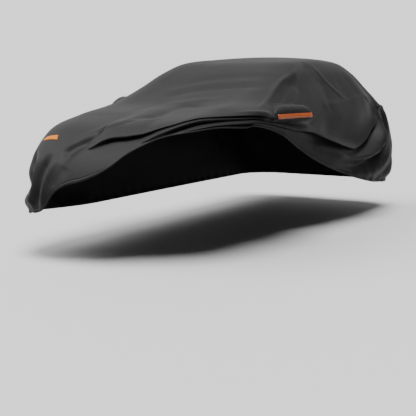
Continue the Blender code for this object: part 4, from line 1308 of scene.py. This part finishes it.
@dataclass
class MirrorPocket:
    """A mirror pocket, sewn over a hole in the side panel, with its tape."""

    side: Side
    along: Sequence[PocketPlace]
    tape_band: tuple[float, float]
    lines: Sequence[PocketLine] = POCKET_LINES
    flange: float = 0.008
    overlap: float = 0.0016
    tape_places: tuple[int, int] = (2, 7)
    tape_lines: tuple[int, int] = (3, 4)
    place_steps: tuple[int, ...] = (1, 6, 6, 6, 6, 6, 5, 6, 1)
    line_steps: tuple[int, ...] = (2, 4, 5, 5, 6, 5, 5, 2)
    tape_lift: float = 0.0012
    tape_thickness: float = 0.0008
    rim_share: float = 0.55
    hole_lines: tuple[int, int] = (2, -3)
    flat_step: tuple[float, float] = (0.011, 0.008)
    nudges: tuple[float, ...] = (0.0, 0.0003, -0.0003, 0.001)
    net: Array = field(init=False)

    @property
    def label(self) -> str:
        """The side's name."""
        return self.side.name.lower()

    def heights(self, place: PocketPlace) -> list[float]:
        """Heights of the pocket's lines.

        Args:
            place: the place along the pocket.

        Returns:
            A height over the ground for each line.
        """
        low, high = self.tape_band
        stretches = {"under": (place.bottom, low), "tape": (low, high), "over": (high, place.top)}
        made = []
        for line in self.lines:
            if line.stretch == "flange":
                made.append((place.bottom if line.share < 0 else place.top) + line.share * self.flange)
            else:
                start, end = stretches[line.stretch]
                made.append(start + (end - start) * line.share)
        return made

    def foot(self, panel: BVHTree, back: float, height: float) -> Array:
        """The cloth beside a point of the pocket.

        Args:
            panel: the side panel's surface.
            back: the point's place along the cover.
            height: its height over the ground.

        Returns:
            The point of the side panel there.
        """
        for nudge in self.nudges:
            start = Vector((self.side.value * OUTSIDE, back - REST[1] + nudge, height - REST[2] + nudge))
            hit = panel.ray_cast(start, Vector((-self.side.value, 0, 0)))[0]
            if hit is not None:
                return np.array(hit)
        raise ValueError(f"no cloth beside the pocket at {back:.3f}, {height:.3f}")

    def shape(self, panel: BVHTree) -> None:
        """Work out the pocket's net.

        Args:
            panel: the side panel's surface, which it is sewn on.
        """
        rows = []
        for place in self.along:
            row = []
            for line, height in zip(self.lines, self.heights(place)):
                foot = self.foot(panel, place.back, height)
                off = max(0.0, place.face - self.side.value * foot[0]) * line.out
                row.append(foot + np.array((self.side.value * (off + self.overlap), 0, 0)))
            rows.append(row)
        fine = curve_through(np.array(rows), self.place_steps)
        self.net = curve_through(fine.transpose(1, 0, 2), self.line_steps).transpose(1, 0, 2)
        self.seat(panel)

    def seat(self, panel: BVHTree) -> None:
        """Lay the pocket's outer rows on the panel, and keep the rest outside it.

        Args:
            panel: the side panel's surface.
        """
        side = self.side.value
        for i, row in enumerate(self.net):
            for j, point in enumerate(row):
                foot = self.foot(panel, point[1] + REST[1], point[2] + REST[2])
                rim = min(i, len(self.net) - 1 - i, j, len(row) - 1 - j) == 0
                least = side * foot[0] + self.overlap * (self.rim_share if rim else 1.0)
                self.net[i, j, 0] = side * (least if rim else max(least, side * point[0]))

    def outline(self) -> Array:
        """The outline of the hole under the pocket, seen from the side.

        Returns:
            Its corners, as places along the cover and heights.
        """
        inner = self.net[1:-1, slice(*self.hole_lines), 1:]
        return np.concatenate([inner[:-1, 0], inner[-1, :-1], inner[:0:-1, -1], inner[0, :0:-1]])

    def build(self, cloth: bpy.types.Material) -> bpy.types.Object:
        """Build the pocket.

        Args:
            cloth: the cloth's material.

        Returns:
            The pocket.
        """
        net = self.net[:, ::-1] if self.side is Side.LEFT else self.net
        rows, columns = net.shape[:2]
        points, quads = net.reshape(-1, 3), np.array(grid_quads(rows, columns))
        flat = np.indices((rows, columns)).transpose(1, 2, 0).reshape(-1, 2) * self.flat_step
        piece = new_piece(f"{self.label}_pocket_cloth", points, quads, flat, cloth)
        add_thickness(piece, CLOTH)
        sewn_on(piece, f"{self.label}_mirror_pocket")
        cloth_area(points, quads)
        return piece

    def build_tape(self, tape: bpy.types.Material) -> bpy.types.Object:
        """Build the pocket's tape.

        Args:
            tape: the tape's material.

        Returns:
            The tape.
        """
        start, end = (sum(self.place_steps[:k]) for k in self.tape_places)
        low, high = (sum(self.line_steps[:k]) for k in self.tape_lines)
        patch = self.net[start:end + 1, low:high + 1]
        if self.side is Side.LEFT:
            patch = patch[:, ::-1]
        return build_tape(f"{self.label}_pocket_tape", f"{self.label}_mirror_tape", patch, self.tape_lift,
                          self.tape_thickness, tape)


def build_tape(name: str, node: str, patch: Array, lift: float, thickness: float,
               material: bpy.types.Material) -> bpy.types.Object:
    """A strip of tape that lies on a patch of cloth.

    Args:
        name: the piece's name.
        node: the CAD node that it stands for.
        patch: the cloth's points under the tape, (along, across, 3).
        lift: how far the tape's middle lies off the cloth's middle.
        thickness: the tape's thickness.
        material: the finish.

    Returns:
        The tape.
    """
    rows, columns = patch.shape[:2]
    quads = np.array(grid_quads(rows, columns))
    points = patch.reshape(-1, 3)
    raised = points + normals_of(points, quads) * lift
    across = np.linspace(0.0, 1.0, columns)
    flat = np.stack(np.meshgrid(run_along(patch[:, 0]), across, indexing="ij"), axis=-1).reshape(-1, 2)
    piece = new_piece(name, raised, quads, flat, material)
    add_thickness(piece, thickness)
    sewn_on(piece, node)
    cloth_area(points, quads)
    return piece


# ---------------------------------------------------------------- the panels


def within(outline: Array, y: float, z: float) -> bool:
    """Whether a place lies inside a closed outline.

    Args:
        outline: the outline's corners, as places along the cover and heights.
        y: the place along the cover.
        z: its height.

    Returns:
        True inside the outline.
    """
    following = np.roll(outline, -1, axis=0)
    crosses = (outline[:, 1] > z) != (following[:, 1] > z)
    rise = np.where(crosses, following[:, 1] - outline[:, 1], 1.0)
    at = outline[:, 0] + (z - outline[:, 1]) / rise * (following[:, 0] - outline[:, 0])
    return bool(np.count_nonzero(crosses & (y < at)) % 2)


@dataclass
class PanelCloth:
    """One panel of the cover, cut from the net."""

    panel: Panel
    net: ClothNet

    def surface(self) -> BVHTree:
        """The panel's surface, for what is sewn on it."""
        return BVHTree.FromPolygons([tuple(point) for point in self.net.points], self.net.quads[self.panel])

    def open_hole(self, piece: bpy.types.Object, outline: Array, surface: BVHTree, side: Side) -> None:
        """Cut a hole in the panel and lay its edge along an outline.

        Args:
            piece: the panel's object.
            outline: the hole's outline, as places along the cover and heights.
            surface: the panel's surface.
            side: the side that the panel is on.
        """
        mesh = bmesh.new()
        mesh.from_mesh(piece.data)
        low, high = outline.min(axis=0), outline.max(axis=0)
        gone = []
        for face in mesh.faces:
            y, z = face.calc_center_median().yz
            if low[0] < y < high[0] and low[1] < z < high[1] and within(outline, y, z):
                gone.append(face)
        edge = {vertex for face in gone for vertex in face.verts}
        bmesh.ops.delete(mesh, geom=gone, context="FACES")
        along = np.roll(outline, -1, axis=0) - outline
        for vertex in [vertex for vertex in edge if vertex.is_valid and vertex.link_faces]:
            spot = np.array(vertex.co.yz)
            share = np.clip(((spot - outline) * along).sum(axis=1) / (along**2).sum(axis=1), 0.0, 1.0)
            near = outline + along * share[:, None]
            y, z = near[np.linalg.norm(near - spot, axis=1).argmin()]
            hit = surface.ray_cast(Vector((side.value * OUTSIDE, y, z)), Vector((-side.value, 0, 0)))[0]
            vertex.co = hit if hit is not None else Vector((vertex.co.x, y, z))
        mesh.to_mesh(piece.data)
        mesh.free()

    def build(self, cloth: bpy.types.Material) -> bpy.types.Object:
        """The panel's mesh."""
        quads = self.net.quads[self.panel]
        return new_piece(f"{self.panel.value}_cloth", self.net.points, quads, self.net.flat, cloth)

    def finish(self, piece: bpy.types.Object) -> None:
        """Args:
            piece: the panel's object.
        """
        sewn_on(piece, self.panel.value)
        area = cloth_area(self.net.points, np.array(self.net.quads[self.panel]))


@dataclass
class HoodTape:
    """The tape across the cover's right front corner. Its corners are places (around, down)."""

    net: ClothNet
    upper: tuple[tuple[float, float], tuple[float, float]] = ((0.066, 2.196), (0.166, 2.190))
    lower: tuple[tuple[float, float], tuple[float, float]] = ((0.054, 2.238), (0.184, 2.248))
    along: int = 16
    across: int = 8
    lift: float = 0.0014
    thickness: float = 0.0008

    def build(self, tape: bpy.types.Material) -> bpy.types.Object:
        """Build the tape.

        Args:
            tape: the tape's material.

        Returns:
            The tape.
        """
        share, sink = np.meshgrid(np.linspace(0, 1, self.along + 1), np.linspace(0, 1, self.across + 1),
                                  indexing="ij")
        (start, end), (low_start, low_end) = np.array(self.upper), np.array(self.lower)
        top = start + (end - start) * share[..., None]
        bottom = low_start + (low_end - low_start) * share[..., None]
        around, down = (top + (bottom - top) * sink[..., None]).reshape(-1, 2).T
        patch = self.net.sample(around, down).reshape(*share.shape, 3)
        return build_tape("hood_tape_strip", "hood_tape", patch, self.lift, self.thickness, tape)


# ---------------------------------------------------------------- studio


@dataclass(frozen=True)
class StudioAir:
    """The surroundings: a white wall of light in one direction, and dim elsewhere."""

    towards: tuple[float, float, float]
    bright: Colour = (1.40, 1.40, 1.40)
    dim: Colour = (0.14, 0.14, 0.143)
    edges: tuple[float, float] = (0.45, 0.85)

    def world(self) -> bpy.types.World:
        """Make the world that lights and surrounds the cover.

        Returns:
            The world.
        """
        world = bpy.data.worlds.new("studio_air")
        world.use_nodes = True
        nodes = NodeBook(world.node_tree)
        way = nodes.add("ShaderNodeTexCoord", output="Generated")
        facing = nodes.add("ShaderNodeVectorMath", {"operation": "DOT_PRODUCT"}, {0: way, 1: self.towards},
                           "Value")
        share = nodes.add("ShaderNodeMapRange", {"interpolation_type": "SMOOTHSTEP"},
                          {"Value": facing, "From Min": self.edges[0], "From Max": self.edges[1]})
        background = world.node_tree.nodes["Background"]
        nodes.feed(background.inputs["Color"], nodes.mix(share, self.dim, self.bright))
        return world


@dataclass(frozen=True)
class Lamp:
    """A soft light that shines on everything from one direction, with its spread in degrees."""

    name: str
    way: tuple[float, float, float]
    strength: float
    width: float

    def hang(self) -> None:
        """Put the light into the scene."""
        lamp = bpy.data.lights.new(self.name, "SUN")
        lamp.energy = self.strength
        lamp.angle = math.radians(self.width)
        show(self.name, lamp).rotation_euler = Vector(self.way).to_track_quat("Z", "Y").to_euler()


LAMPS = (Lamp("overhead", (0.14, -0.16, 1.0), 9.9, 34.0), Lamp("beside", (-0.80, -0.42, 0.95), 5.0, 50.0))


@dataclass
class Studio:
    """The floor, the lights and the camera."""

    eye: tuple[float, float, float] = (4.42475, -7.55091, 1.52535)
    azimuth: float = math.radians(32.397)
    elevation: float = math.radians(6.026)
    roll: float = -0.0099216
    sensor: float = 36.0
    lens: float = 79.147
    shift: tuple[float, float] = (0.02377, -0.10288)
    ground: float = -REST[2]
    floor_size: float = 60.0
    floor_squares: int = 24

    def lay_floor(self) -> None:
        """A wide floor at the ground."""
        mesh = bmesh.new()
        bmesh.ops.create_grid(mesh, x_segments=self.floor_squares, y_segments=self.floor_squares,
                              size=self.floor_size)
        data = bpy.data.meshes.new("studio_floor")
        mesh.to_mesh(data)
        mesh.free()
        data.materials.append(StudioPaper().material())
        floor = show("studio_floor", data)
        floor.location.z = self.ground

    def light(self) -> None:
        """The surroundings and the lights."""
        away = (-math.sin(self.azimuth), math.cos(self.azimuth), 0.0)
        bpy.context.scene.world = StudioAir(away).world()
        for lamp in LAMPS:
            lamp.hang()

    def point_camera(self) -> None:
        """The camera at the photograph's place."""
        back = Vector((math.sin(self.azimuth) * math.cos(self.elevation),
                       -math.cos(self.azimuth) * math.cos(self.elevation), math.sin(self.elevation)))
        data = bpy.data.cameras.new("camera")
        data.sensor_width = self.sensor
        data.lens = self.lens
        data.shift_x, data.shift_y = self.shift
        camera = show("camera", data)
        camera.location = Vector(self.eye) - Vector(REST)
        turn = (-back).to_track_quat("-Z", "Y")
        turn.rotate(Quaternion(back, self.roll))
        camera.rotation_mode = "QUATERNION"
        camera.rotation_quaternion = turn
        bpy.context.scene.camera = camera


def main() -> None:
    """Build the cover and the studio around it."""
    logging.basicConfig(level=logging.INFO, format="%(message)s")
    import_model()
    cloth, tape = CoatedCloth().material(), ReflectiveTape().material()
    net = ClothNet()
    net.build()
    LOG.info("cloth net: %d columns, %d rows", net.count, net.rows)
    pockets = {
        Panel.LEFT: MirrorPocket(Side.LEFT, LEFT_POCKET, tape_band=(1.104, 1.143)),
        Panel.RIGHT: MirrorPocket(Side.RIGHT, RIGHT_POCKET, tape_band=(1.126, 1.163)),
    }
    for panel in Panel:
        cut = PanelCloth(panel, net)
        piece = cut.build(cloth)
        if panel in pockets:
            pocket = pockets[panel]
            surface = cut.surface()
            pocket.shape(surface)
            cut.open_hole(piece, pocket.outline(), surface, pocket.side)
            pocket.build(cloth)
            pocket.build_tape(tape)
        cut.finish(piece)
        LOG.info("%s: %d faces", piece.name, len(piece.data.polygons))
    amber = ReflectiveTape("amber_tape", shade=(0.36, 0.100, 0.001), line=(0.22, 0.09, 0.03), lines=(0.5,),
                           line_half=0.07, shine=0.04)
    HoodTape(net).build(amber.material())
    studio = Studio()
    studio.lay_floor()
    studio.light()
    studio.point_camera()


if __name__ == "__main__":
    main()
